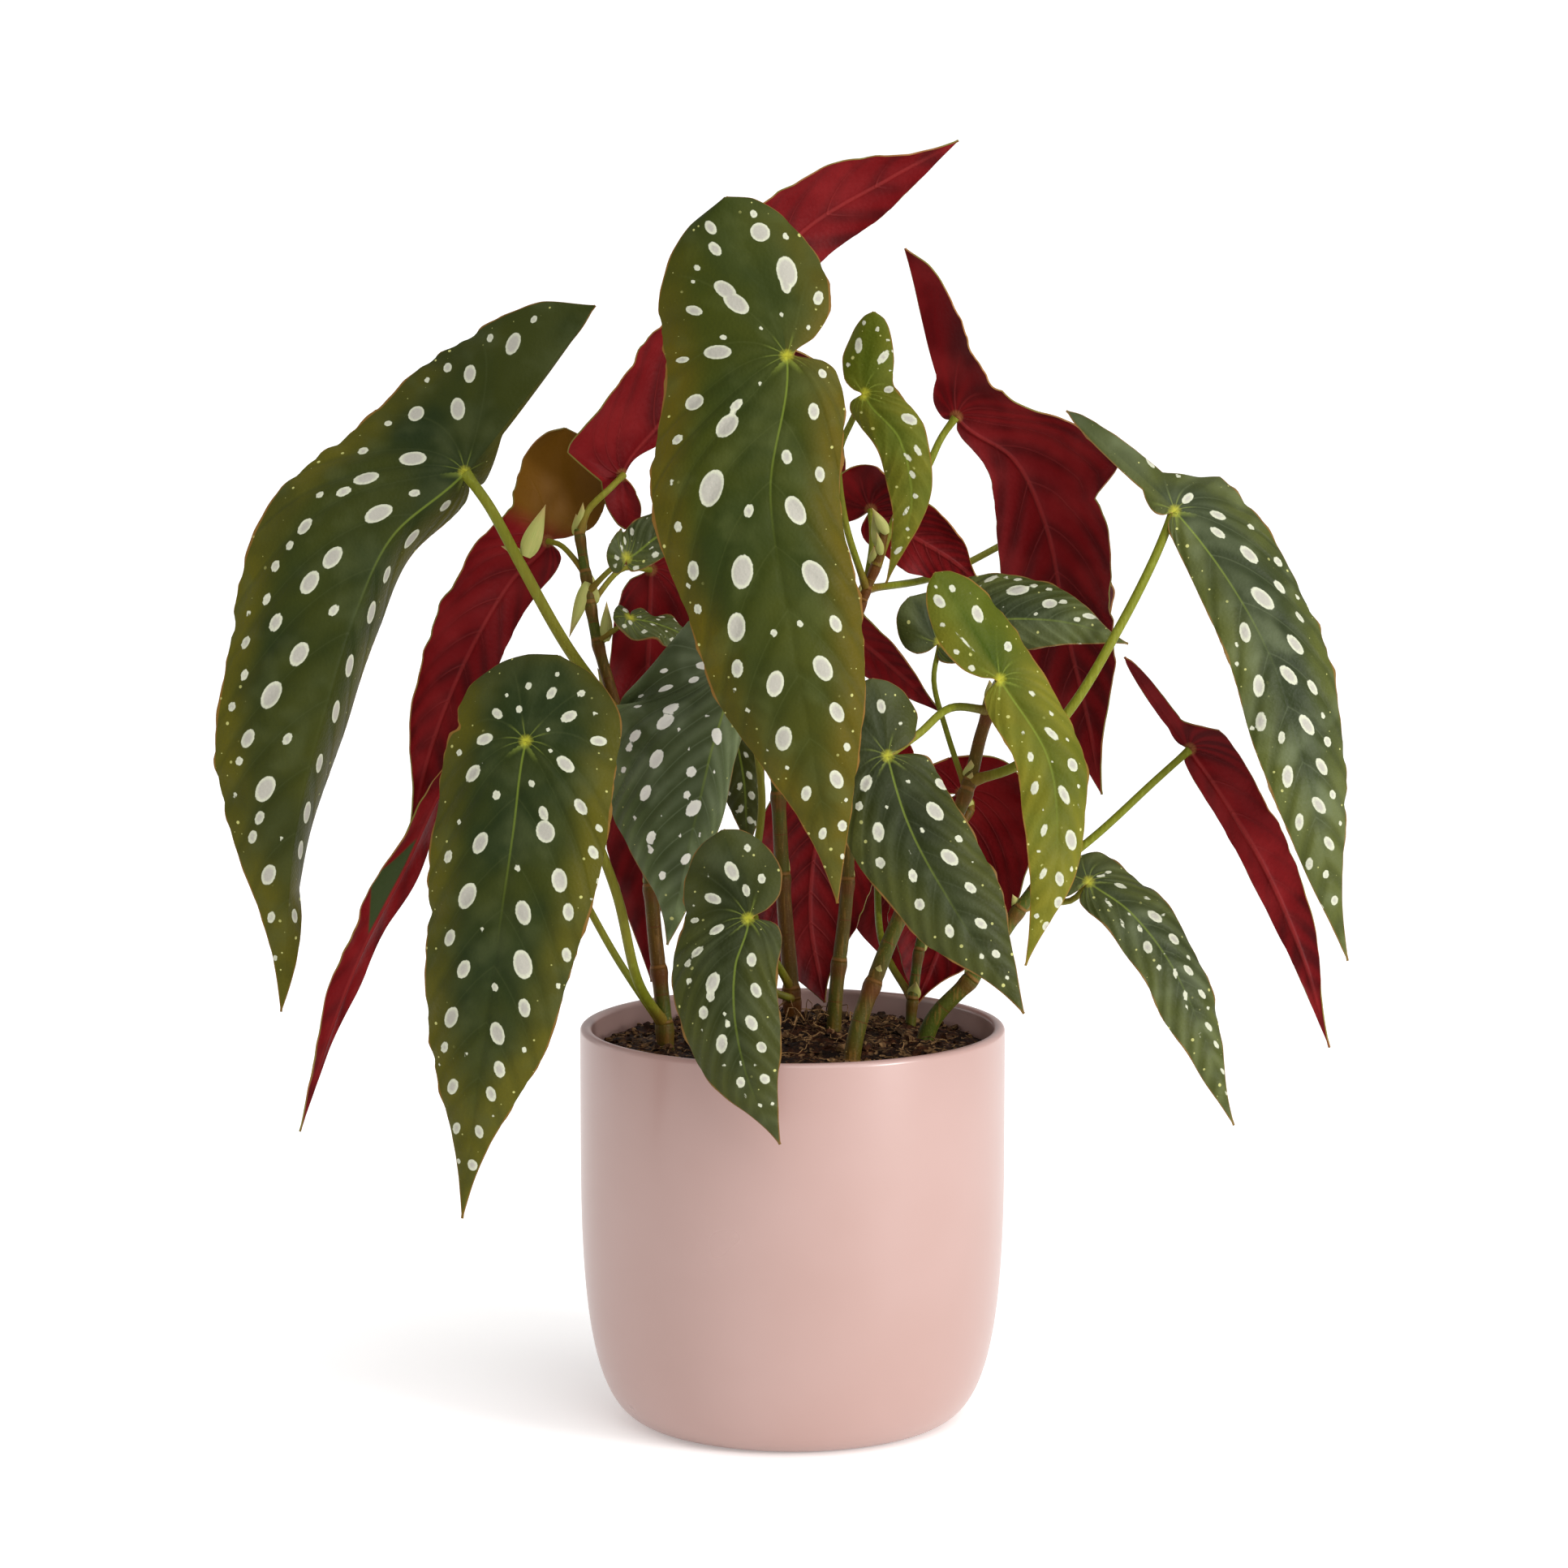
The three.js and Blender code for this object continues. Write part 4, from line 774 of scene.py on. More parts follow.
def scattered_spots(blade):
    """Spots in lines beside the midrib, for a leaf that is seen from below or half hidden."""
    dice = random.Random(blade.seed)
    widest = max(blade.wide, blade.narrow)
    big = 0.6 + 0.1 * widest  # a broader blade has bigger spots, and not in proportion
    tracks = max(1, round(widest / (SPOT_TRACK * big)))
    spots = []
    for side in (1, -1):
        for track in range(tracks):
            x = -blade.behind + dice.uniform(0.4, 1.2) * big * SPOT_PITCH
            while x < 0.95 * blade.ahead:
                half_width = blade.half_width_at(x, side)
                y = half_width * ((track + 0.72) / (tracks + 0.42) + dice.uniform(-0.09, 0.09))
                room = min(1, half_width / (FULL_SIZE_WIDTH * big))
                size = big * dice.uniform(0.45, 1.05) * room ** 0.6
                clear = EDGE_CLEARANCE * size < min(y, half_width - y)
                if clear and math.hypot(x, y) > STALK_CLEARANCE * size:
                    turn = side * vein_turn(blade, x, y, half_width)
                    roundness = SPOT_ROUNDNESS * dice.uniform(0.85, 1.15)
                    spots.append((x, side * y, size, roundness * size, turn))
                x += big * SPOT_PITCH * dice.uniform(0.75, 1.35)
    return spots


def spot_distance(places, spots):
    """Millimetres from each place to the edge of the nearest spot, negative inside it."""
    nearest = np.full(len(places), 50.0)
    for x, y, half_length, half_width, turn in spots:
        dx = places[:, 0] - x
        dy = places[:, 1] - y
        along = (dx * math.cos(turn) + dy * math.sin(turn)) / half_length
        across = (dy * math.cos(turn) - dx * math.sin(turn)) / half_width
        nearest = np.minimum(nearest, (np.hypot(along, across) - 1) * half_width)
    return nearest


# ---- leaf materials

# Looks of the green side. Heart, body and rim are its colours in the darkest parts, all over and
# towards the margin. Sheen is a painted sheen, laid on in pale patches and in bands between the veins,
# and it is also the colour of the fine vein lines. Veins say how far painted shade darkens its
# creases, the sheen bands how far that painted sheen shows between the veins, and glow how far its
# spots are painted whiter.
LOOKS = {
    "golden": dict(heart="#27300e", body="#363b0d", rim="#4f460d", sheen="#4a5028", gloss=0.06,
                   veins=0.2, sheen_bands=0.15),
    "olive": dict(heart="#1f2910", body="#30350e", rim="#4c480f", sheen="#444a2a", gloss=0.07,
                  veins=0.18, sheen_bands=0.2),
    "dark": dict(heart="#1b2106", body="#282e0f", rim="#3e4117", sheen="#454b32", gloss=0.11,
                 veins=0.3, sheen_bands=0.3),
    "grey": dict(heart="#222a10", body="#30381b", rim="#484d1c", sheen="#656d4e", gloss=0.13,
                 veins=0.35, sheen_bands=0.24),
    # The pale look is lighter all over, and whitens its spots, as painted light for a leaf that lies
    # in shade.
    "pale": dict(heart="#363f22", body="#454e2e", rim="#5c6840", sheen="#7a8466", gloss=0.12,
                 veins=0.4, sheen_bands=0.18, glow=0.6),
    "young": dict(heart="#36430a", body="#45490c", rim="#6a661c", sheen="#596220", gloss=0.07,
                  veins=0.25, sheen_bands=0.12),
}
LOOK_OF = {
    "leaf_front_large": "golden",
    "leaf_left_large": "olive",
    "leaf_left_front": "olive",
    "leaf_left_inner": "pale",
    "leaf_inner_left": "grey",
    "leaf_left_grey": "grey",
    "leaf_right_large": "grey",
    "leaf_right_grey": "grey",
    "leaf_right_low": "grey",
    "leaf_right_bright": "young",
    "leaf_top_bright": "young",
}

# Colours of the finer marks, above and below.
YOUNG_LOBE = "#304003"
YOUNG_TIP = "#6e6920"
MIDRIB = "#6f7f2c"
STAR = "#7f8c38"  # the pale rays around the place where the stalk joins
SPOT_GRAIN = "#8f9389"
SPOT_PAINTED_LIGHT = "#ece9de"
FRECKLE = "#b9b872"
MARGIN_GREEN = "#6f6428"
RED_SHADE_AND_SHEEN = ("#450305", "#7f1b1c")  # painted shade in the folds and a dark mottle, and painted sheen in patches
YOUNG_TONES = ("#6f3a22", "#8c8a38")
CURL_GREEN = "#2f3a1c"
AMBER = "#64430a"
JOINT = "#7a4a28"


def off_whole(value):
    """How far a value is from the nearest whole number. On a vein, that is 0."""
    return ((value + 0.5).part() - 0.5).size()


def green_side(name, look, settings):
    """The upper side: cloudy green with pale spots, fine veins and an olive edge, with painted shade
    in the creases beside the veins and painted sheen in pale patches and bands. In millimetres, x is
    along the midrib from the stalk, y across it, rim the way to the margin and spot to a spot."""
    g = Graph(name)
    x, y, rim = g.attribute("leaf_place")
    vein, pitch, spot = g.attribute("leaf_marks")
    flat = g.vector(x, y)
    here = g.place()
    clouds = g.cloud(here, 28, 3)
    patches = g.cloud(here, 75, 2)
    base = g.mix(clouds.rise(0.35, 0.65), look["heart"], look["body"])
    if name == "leaf_young":
        base = g.mix(x.fall(-8, 6), base, YOUNG_LOBE)
        base = g.mix(x.rise(30, 75) * 0.8, base, YOUNG_TIP)
    ripe = rim.fall(1, 16) * (0.4 + 0.85 * clouds.rise(0.3, 0.62)) * x.rise(-50, 20) ** 0.5
    ripe = ripe + x.rise(60, 160) * 0.3
    base = g.mix(ripe.least(1.0), base, look["rim"])
    # painted sheen: pale patches in the sheen colour
    base = g.mix(patches.rise(0.48, 0.72) * 0.35, base, look["sheen"])

    between = off_whole(vein)
    off_vein = between * pitch
    # painted sheen: pale bands between the veins, near the midrib
    sheen_bands = between.rise(0.1, 0.4) * g.cloud(here, 45, 2).rise(0.35, 0.6) * y.size().fall(3, 22)
    base = g.mix(sheen_bands * look["sheen_bands"], base, look["sheen"])
    crease_and_its_shade = off_vein.fall(0.2, 3.2)
    # painted shade: the creases beside the veins are darkened towards the heart colour; the same mask
    # sinks them in the bump
    base = g.mix(crease_and_its_shade * look["veins"], base, look["heart"])
    thread = off_vein.fall(0.06, 0.35) * rim.rise(2, 12) * 0.18
    base = g.mix(thread, base, look["sheen"])
    midrib = y.size().fall(0.15, 0.55) * x.rise(-1.5, 0.5) * x.fall(5, 70) * rim.rise(0.5, 6)
    base = g.mix(midrib * 0.6, base, MIDRIB)
    uneven = g.cloud(flat, 0.9, 2) - 0.5
    reach = (x * x + y * y) ** 0.5 + uneven * 2
    star = between.fall(0.02, 0.16) * reach.fall(2, 9) * 0.4
    base = g.mix(star, base, STAR)
    base = g.mix(reach.fall(0.2, 2.8) * 0.85, base, settings.node)

    ragged = spot + uneven * 0.35
    grain = g.cells(flat, 1.6, dimensions="2D")
    inside = g.mix(ragged.rise(-1.1, -0.2), settings.spot, settings.spot_rim)
    inside = g.mix(grain.rise(0.15, 0.75) * 0.2, inside, SPOT_GRAIN)
    # painted light: the pale look whitens its spots, for a leaf that lies in shade
    inside = g.mix(look.get("glow", 0), inside, SPOT_PAINTED_LIGHT)
    speck = g.cells(flat, 0.17, dimensions="2D")
    size = speck.output("Color").split()[0] ** 2 * 0.1
    freckle = (size - speck).rise(-0.012, 0.02) * ragged.rise(0.5, 1.2) * rim.fall(4, 11)
    base = g.mix(freckle * 0.8, base, FRECKLE)
    base = g.mix(ragged.fall(-0.12, 0.12), base, inside)
    base = g.mix(rim.fall(0.12, 0.5) * 0.55, base, settings.margin)

    height = g.cells(here, 900) * 0.3 - crease_and_its_shade * look["veins"] * 2.5 + ragged.fall(-0.3, 0.3) * 0.1
    normal = g.bump(height, 0.0007, 0.5)
    roughness = 0.4 + 0.16 * patches
    return g.finish(base=base, roughness=roughness, normal=normal, specular=look["gloss"])


# Kinds of underside.
RED = "red"
YOUNG = "young"
LOBED = "lobed"  # red, with an amber back lobe
CURLED = "curled"  # red, with a bit of the green side curled over
BELOW_OF = {"leaf_left_red": LOBED, "leaf_left_folded": CURLED}


def red_side(kind, settings):
    """The underside: deep red, with painted shade in the folds beside its raised veins and painted
    sheen in patches.
    """
    g = Graph("leaf_below_" + kind)
    x, y, rim = g.attribute("leaf_place")
    vein, pitch, _ = g.attribute("leaf_marks")
    here = g.place()
    clouds = g.cloud(here, 14, 2)
    patches = g.cloud(here, 60, 2)
    # The darker tone is painted shade in the folds beside the veins, mixed with a darker mottle; the
    # paler one is painted sheen in patches.
    fold_shade_tone, sheen_tone = YOUNG_TONES if kind == YOUNG else RED_SHADE_AND_SHEEN
    between = off_whole(vein)
    fold_shade_and_mottle = between.rise(0, 0.5) * 0.5 + clouds.rise(0.3, 0.7) * 0.5
    base = g.mix(fold_shade_and_mottle.rise(0.1, 0.75), fold_shade_tone, settings.underside)
    base = g.mix(patches.rise(0.4, 0.7) * 0.45, base, sheen_tone)
    ridge = (between * pitch).fall(0.1, 0.4) * rim.rise(2, 14)
    midrib = y.size().fall(0.3, 1.0) * x.rise(-1.5, 0.5) * rim.rise(0.5, 6)
    base = g.mix(ridge * 0.2, base, settings.underside_vein)
    base = g.mix(midrib * 0.4, base, settings.underside_vein)
    if kind == CURLED:
        # A patch right of the midrib, cut off aslant 38 and 78 mm from the stalk.
        curl = (0 - y).rise(0.6, 1) * (x + y * 2).rise(38, 40) * (x - y * 2).fall(76, 78)
        base = g.mix(curl, base, CURL_GREEN)
    if kind == LOBED:
        base = g.mix(x.fall(-9, 2) * 0.95, base, AMBER)
    base = g.mix((x * x + y * y).fall(1, 7), base, JOINT)
    height = g.cells(here, 700) * 0.3 + ridge * 0.6 + midrib * 0.8 + patches * 0.8
    normal = g.bump(height, 0.0006, 0.5)
    return g.finish(base=base, roughness=0.42 + 0.16 * patches, normal=normal, specular=0.09)


def leaf_margin(settings):
    """The thin reddish edge between the two sides."""
    g = Graph("leaf_margin")
    clouds = g.cloud(g.place(), 60, 2)
    base = g.mix(clouds.rise(0.4, 0.6), settings.margin, MARGIN_GREEN)
    return g.finish(base=base, roughness=0.5, specular=0.2)


# ---- leaves

def blade_surface(blade, step):
    """The blade's middle surface with its marks, as a grid that is bent into shape."""
    rows = [Row(blade, along) for along in row_places(blade, step / MM)]
    columns = 2 * max(4, round(max(blade.wide, blade.narrow) * MM / step))
    bm = bmesh.new()
    bmesh.ops.create_grid(bm, x_segments=len(rows) - 1, y_segments=columns, size=1)
    place_layer = bm.verts.layers.float_vector.new("leaf_place")
    marks_layer = bm.verts.layers.float_vector.new("leaf_marks")
    places = []
    marks = []
    for vert in bm.verts:
        row = rows[round((vert.co.x + 1) / 2 * (len(rows) - 1))]
        point, place, mark = blade.point_at(row, -vert.co.y)
        vert.co = point * MM
        places.append(place)
        marks.append(mark)
    spots = placed_spots(blade) if blade.name in SPOTS else scattered_spots(blade)
    distances = spot_distance(np.array(places), spots)
    for vert, place, mark, distance in zip(bm.verts, places, marks, distances):
        vert[place_layer] = place
        vert[marks_layer] = (*mark, distance)
    return bm


def give_thickness(piece, thickness):
    """Makes a surface a closed blade: the green side, the red side and the margin between them."""
    wall = piece.modifiers.new("blade", "SOLIDIFY")
    wall.thickness = thickness
    wall.offset = 0
    wall.material_offset = 1  # the red side
    wall.material_offset_rim = 2  # the margin
    bpy.context.view_layer.update()
    shaped = piece.evaluated_get(bpy.context.evaluated_depsgraph_get())
    mesh = bpy.data.meshes.new_from_object(shaped)
    piece.modifiers.clear()
    piece.data, old = mesh, piece.data
    mesh.name = piece.name
    bpy.data.meshes.remove(old)
    bm = bmesh.new()
    bm.from_mesh(mesh)
    for edge in bm.edges:
        edge.smooth = len({face.material_index for face in edge.link_faces}) == 1
    bm.to_mesh(mesh)
    bm.free()


class BEGONIA_OT_leaves(bpy.types.Operator):
    """Builds the leaf blades"""

    bl_idname = "begonia.leaves"
    bl_label = "Leaves"

    def execute(self, context):
        settings = context.scene.begonia.leaves
        tops = {look: green_side("leaf_" + look, LOOKS[look], settings) for look in LOOKS}
        undersides = {kind: red_side(kind, settings) for kind in (RED, YOUNG, LOBED, CURLED)}
        margin = leaf_margin(settings)
        for leaf in LEAVES:
            name = leaf["name"]
            look = LOOK_OF.get(name, "dark")
            young = look == "young"
            below = YOUNG if young else BELOW_OF.get(name, RED)
            bm = blade_surface(Blade(leaf), settings.step)
            materials = [tops[look], undersides[below], margin]
            piece = add_piece(name.replace("leaf", "blade", 1), bm, materials, name)
            give_thickness(piece, settings.thickness)
        return {"FINISHED"}


# ---- the plant

# In millimetres, in the frame of the solids. A cane has its radius at the foot and at the top, its
# path from the foot up, and its papery scales, or stipules, each at a part of its length.
CANES = (
    dict(
        name="cane_left", radius=(2.9, 1.6),
        path=(
            (-40, -12, 90), (-42, -12, 134), (-45, -10, 163), (-49, -6, 203), (-58, 2, 237),
            (-64, 6, 258), (-68, 10, 281), (-70, 12, 294),
        ),
        stipules=(
            dict(joint=0.72, lean=(-0.5, 0.2, 1), length=12),
            dict(joint=0.99, lean=(0.1, -0.2, 1), length=10),
        ),
    ),
    dict(
        name="cane_centre", radius=(3, 2),
        path=((1, 14, 90), (0, 14, 134), (-3, 14, 173), (-5, 14, 211), (-7, 12, 241), (-6, 8, 258)),
    ),
    dict(
        name="cane_mid", radius=(2.7, 1.5),
        path=(
            (13, 2, 90), (14, 2, 137), (18, 4, 177), (18, 6, 215), (18, 8, 241), (22, 10, 268),
            (28, 10, 284), (30, 9, 294),
        ),
        stipules=(dict(joint=0.97, lean=(-0.2, -0.3, 1), length=12),),
    ),
    dict(
        name="cane_front", radius=(3, 2),
        path=(
            (17, -34, 90), (20, -34, 132), (27, -30, 153), (36, -26, 174), (50, -20, 197),
            (57, -16, 213), (61, -14, 229), (65, -18, 242),
        ),
    ),
    dict(
        name="cane_right", radius=(3.4, 2),
        path=((41, 0, 90), (45, 0, 130), (60, 0, 148), (73, 2, 167), (84, 4, 182)),
    ),
    dict(
        name="cane_back", radius=(2, 1.4),
        path=((38, 22, 90), (40, 22, 134), (44, 26, 160), (52, 32, 185), (60, 38, 198)),
    ),
)

# A leaf has its cane and the part of the cane's length where its stalk joins, the points of the stalk
# between the cane and the blade, the blade's spine, its half widths and the way its green side looks.
LEAVES = (
    dict(
        name="leaf_front_large", cane="cane_centre", joint=0.98, stalk_radius=1.9,
        stalk=((0, -14, 290), (2, -38, 330)),
        spine=(
            (-21, -50, 403), (-2, -60, 354), (-7, -74, 312), (0, -80, 267), (7, -78, 226),
            (14, -70, 183),
        ),
        wide=39.5, narrow=23.6, face=(0.05, -1, 0.12), lobe=(1, 0.9), fold=(6, 4), curl=(-42, -36),
        wave=1.4, waves=5,
    ),
    dict(
        name="leaf_left_large", cane="cane_left", joint=0.7, stalk_radius=2,
        stalk=((-73, -2, 256), (-88, -8, 284), (-98, -9, 303)),
        spine=(
            (-64, 8, 367), (-106, -6, 314), (-129, -18, 294), (-140, -26, 271), (-150, -32, 239),
            (-160, -32, 200), (-166, -24, 140),
        ),
        wide=47, narrow=22, face=(-0.25, -1, 0.35), tip_face=(0, -1, 0.1), fold=(2, -72),
        curl=(-22, -20), wave=1.4, waves=5, lobe=(1, 0.12), neck=(0.12, 0.12), lobe_taper=0.5,
    ),
    dict(
        name="leaf_left_front", cane="cane_left", joint=0.21, stalk_radius=1.7,
        stalk=((-50, -26, 150), (-57, -36, 182), (-69, -42, 213), (-79, -48, 230)),
        spine=(
            (-74, -50, 259), (-84, -60, 233), (-88, -68, 204), (-93, -74, 169), (-99, -74, 127),
            (-105, -66, 81),
        ),
        wide=30, narrow=29, wide_side=-1, face=(-0.25, -1, 0.12), notch=0.2, waves=5, wave=1.3,
    ),
    dict(
        name="leaf_left_inner", cane="cane_centre", joint=0.3, stalk_radius=1.4,
        stalk=((-13, -12, 172), (-10, -18, 210), (-16, -24, 246)),
        spine=((-33, -30, 268), (-21, -36, 253), (-27, -45, 224), (-34, -50, 194), (-40, -48, 166)),
        wide=43, narrow=13, face=(-0.2, -1, 0.1), fold=(4, -45),
    ),
    dict(
        name="leaf_front_small", cane="cane_centre", joint=0.28, stalk_radius=1.3,
        stalk=((-8, -30, 150), (-12, -62, 172)),
        spine=(
            (-22, -68, 206), (-14, -76, 179), (-18, -84, 165), (-18, -90, 149), (-13, -92, 128),
            (-4, -90, 110),
        ),
        wide=22, narrow=14, face=(-0.15, -1, 0.15),
    ),
    dict(
        name="leaf_right_front", cane="cane_front", joint=0.97, stalk_radius=1.4,
        stalk=((50, -32, 240), (40, -42, 233)),
        spine=((25, -44, 251), (30, -50, 227), (37, -58, 205), (51, -64, 180), (73, -66, 147)),
        wide=21, narrow=19, face=(0.25, -1, 0.12), lobe=(1, 0.75),
    ),
    dict(
        name="leaf_right_bright", cane="cane_front", joint=0.99, stalk_radius=1.3,
        stalk=((65, -28, 247),),
        spine=(
            (45, -36, 284), (66, -38, 250), (81, -44, 226), (84, -48, 206), (82, -52, 183),
            (74, -52, 160),
        ),
        wide=14.5, narrow=11, wide_side=-1, face=(0.35, -1, 0.15), lobe=(1.1, 1),
    ),
    dict(
        name="leaf_top_bright", cane="cane_mid", joint=0.9, stalk_radius=1.2,
        stalk=((17, 0, 298), (15, -8, 320), (19, -14, 331)),
        spine=(
            (26, -16, 366), (23, -22, 340), (34, -28, 326), (38, -26, 307), (35, -22, 292),
            (30, -18, 279),
        ),
        wide=10, narrow=8, wide_side=-1, face=(-0.2, -1, 0.1), tip_face=(0.3, -1, 0), taper=0.8,
    ),
    dict(
        name="leaf_right_red", cane="cane_mid", joint=0.94, stalk_radius=1.4,
        stalk=((35, 14, 300), (44, 20, 313), (49, 25, 323)),
        spine=(
            (37, 30, 385), (54, 26, 330), (73, 28, 316), (84, 34, 294), (92, 42, 257), (100, 44, 224),
            (104, 42, 202),
        ),
        wide=38, narrow=19, face=(0.3, 1, 0.2), lobe=(0.55, 0.03), neck=(0.47, 0.7), taper=1.25,
        lobe_taper=0.45, shoulder=0.62,
    ),
    dict(
        name="leaf_right_large", cane="cane_front", joint=0.82, stalk_radius=1.7,
        stalk=((74, -20, 221), (90, -20, 239), (106, -14, 265), (117, -5, 285)),
        spine=(
            (89, 6, 333), (124, -2, 301), (143, -10, 276), (156, -16, 251), (164, -20, 224),
            (170, -20, 200), (181, -14, 155),
        ),
        wide=26, narrow=14.5, wide_side=-1, face=(0.3, -1, 0.45), lobe=(0.34, 0.22),
        neck=(0.04, 0.35), lobe_taper=0.65,
    ),
    dict(
        name="leaf_right_twisted", cane="cane_right", joint=0.98, stalk_radius=1.4,
        stalk=((100, 4, 194), (119, 8, 211)),
        spine=(
            (109, 10, 252), (131, 14, 221), (141, 14, 207), (157, 12, 180), (169, 10, 152),
            (178, 8, 122),
        ),
        wide=12, narrow=6, face=(0.2, 1, 0.1), fold=(22, 22), lobe=(0.3, 0.35),
    ),
    dict(
        name="leaf_right_low", cane="cane_right", joint=0.85, stalk_radius=1.2,
        stalk=((85, 12, 170), (93, 18, 170)),
        spine=(
            (92, 16, 183), (98, 12, 177), (111, 8, 168), (124, 4, 152), (135, 2, 129), (146, 2, 97),
        ),
        wide=14, narrow=11, wide_side=-1, face=(0.3, -1, 0.6),
    ),
    dict(
        name="leaf_left_red", cane="cane_left", joint=0.93, stalk_radius=1,
        stalk=((-76, 18, 288),),
        spine=(
            (-75, 30, 326), (-81, 24, 289), (-93, 20, 276), (-106, 14, 254), (-118, 8, 225),
            (-126, 4, 194),
        ),
        wide=20, narrow=10.5, wide_side=-1, face=(-0.35, 1, 0.15), lobe=(0.95, 1.6),
    ),
    dict(
        name="leaf_top_red", cane="cane_left", joint=0.99, stalk_radius=1.2,
        stalk=((-67, 12, 300), (-60, 13, 307)),
        spine=(
            (-55, 22, 293), (-56, 22, 311), (-42, 25, 330), (-24, 32, 354), (2, 42, 389),
            (31, 46, 407), (55, 46, 420),
        ),
        wide=23, narrow=12, face=(-0.25, 1, 0.3), lobe=(0.35, 0.6), neck=(0, 0.3), taper=1.8,
    ),
    dict(
        name="leaf_inner_left", cane="cane_left", joint=0.9, stalk_radius=1,
        stalk=((-60, 2, 281),),
        spine=((-59, -6, 291), (-54, -4, 286), (-43, 0, 293), (-28, 4, 297), (-12, 8, 291)),
        wide=9, narrow=7, wide_side=-1, face=(0, -1, 0.2),
    ),
    dict(
        name="leaf_behind_left", cane="cane_left", joint=0.88, stalk_radius=1,
        stalk=((-56, 22, 280),),
        spine=(
            (-47, 30, 290), (-47, 30, 279), (-48, 30, 250), (-50, 28, 210), (-49, 24, 175),
            (-47, 20, 142),
        ),
        wide=18, narrow=14, taper=1.2, face=(0, 1, 0.1),
    ),
    dict(
        name="leaf_inner_right", cane="cane_mid", joint=0.88, stalk_radius=1,
        stalk=((26, 18, 288),),
        spine=((15, 30, 310), (26, 28, 299), (39, 24, 291), (52, 26, 283), (63, 30, 274)),
        wide=15, narrow=11, face=(0, 1, 0.3),
    ),
    dict(
        name="leaf_right_grey", cane="cane_front", joint=0.8, stalk_radius=1,
        stalk=((50, -10, 230), (46, -4, 246)),
        spine=(
            (38, 6, 272), (48, 0, 258), (63, -4, 265), (80, -6, 266), (94, -8, 264), (109, -6, 258),
        ),
        wide=21, narrow=10, wide_side=-1, face=(0, -1, 0.6),
    ),
    dict(
        name="leaf_inner_red", cane="cane_centre", joint=0.95, stalk_radius=1,
        stalk=((1, -2, 265),),
        spine=((-1, 4, 277), (6, 4, 272), (24, 0, 257), (36, -2, 247), (49, -4, 235)),
        wide=9, narrow=8, face=(0, 1, 0.3),
    ),
    dict(
        name="leaf_low_right", cane="cane_back", joint=0.99, stalk_radius=1.1,
        stalk=((60, 40, 200),),
        spine=((53, 46, 214), (57, 46, 202), (58, 48, 182), (52, 46, 156), (42, 42, 130)),
        wide=24, narrow=21, taper=1.3, face=(0.2, 1, 0.2),
    ),
    dict(
        name="leaf_low_centre", cane="cane_mid", joint=0.6, stalk_radius=1,
        stalk=((20, 24, 212),),
        spine=((24, 44, 231), (18, 44, 218), (9, 48, 190), (6, 46, 160), (11, 42, 131)),
        wide=25, narrow=22, taper=1.4, face=(-0.1, 1, 0.2),
    ),
    dict(
        name="leaf_inner_dark", cane="cane_centre", joint=0.8, stalk_radius=1,
        stalk=((-14, 12, 236),),
        spine=((-25, 6, 242), (-21, 6, 234), (-16, 0, 213), (-15, 0, 188)),
        wide=10, narrow=7, face=(0, -1, 0.1),
    ),
    dict(
        name="leaf_left_folded", cane="cane_left", joint=0.2, stalk_radius=1.3,
        stalk=((-58, -18, 158), (-82, -6, 200), (-96, 3, 220)),
        spine=(
            (-94, 8, 238), (-102, 6, 227), (-115, 2, 209), (-127, -2, 184), (-141, -6, 157),
            (-152, -8, 129), (-162, -8, 97),
        ),
        wide=9, narrow=8, face=(-0.7, 0.7, 0.3), fold=(25, 25), neck=(0.3, 0.6),
    ),
    dict(
        name="leaf_left_grey", cane="cane_left", joint=0.82, stalk_radius=0.9,
        spine=((-58, 0, 268), (-53, 0, 266), (-45, 2, 264), (-35, 6, 259), (-23, 10, 247)),
        wide=8, narrow=8, face=(0, -0.6, 1),
    ),
    dict(
        name="leaf_back_large", cane="cane_centre", joint=0.97, stalk_radius=1.6,
        stalk=((-8, 20, 300), (-8, 46, 330)),
        spine=(
            (-13, 50, 354), (-11, 60, 332), (-9, 76, 297), (-10, 92, 257), (-13, 98, 222),
            (-14, 96, 200),
        ),
        wide=28, narrow=18, face=(0, 1, 0.2),
    ),
    dict(
        name="leaf_back_left", cane="cane_left", joint=0.5, stalk_radius=1.3,
        stalk=((-68, 10, 212), (-72, 34, 222)),
        spine=((-67, 40, 235), (-71, 46, 223), (-82, 58, 205), (-90, 66, 182), (-93, 66, 156)),
        wide=24, narrow=17, wide_side=-1, face=(-0.8, 0.8, 0.3),
    ),
    dict(
        name="leaf_back_right", cane="cane_mid", joint=0.9, stalk_radius=1.3,
        stalk=((50, 44, 276), (84, 66, 290)),
        spine=((86, 62, 304), (91, 70, 290), (97, 84, 261), (102, 92, 232), (104, 92, 206)),
        wide=24, narrow=17, face=(0.8, 0.8, 0.3),
    ),
    dict(
        name="leaf_back_low", cane="cane_back", joint=0.4, stalk_radius=1.3,
        stalk=((31, 36, 150), (29, 54, 166)),
        spine=((30, 58, 212), (31, 64, 200), (34, 76, 172), (38, 86, 145), (44, 92, 120)),
        wide=22, narrow=18, wide_side=-1, face=(0.3, 1, 0.5),
    ),
)


# ---- canes and leaf stalks

FIRST_NODE = 8.0  # above the cane's foot
NODE_STEP = 27  # between a cane's nodes where no leaf grows
NODE_ROOM = 0.45  # such a node keeps this part of the step from a node that has a leaf
RING_STEP = 1.6  # between the rings of a cane's mesh
STALK_RING_STEP = 1.6 * RING_STEP
CANE_SIDES = 20
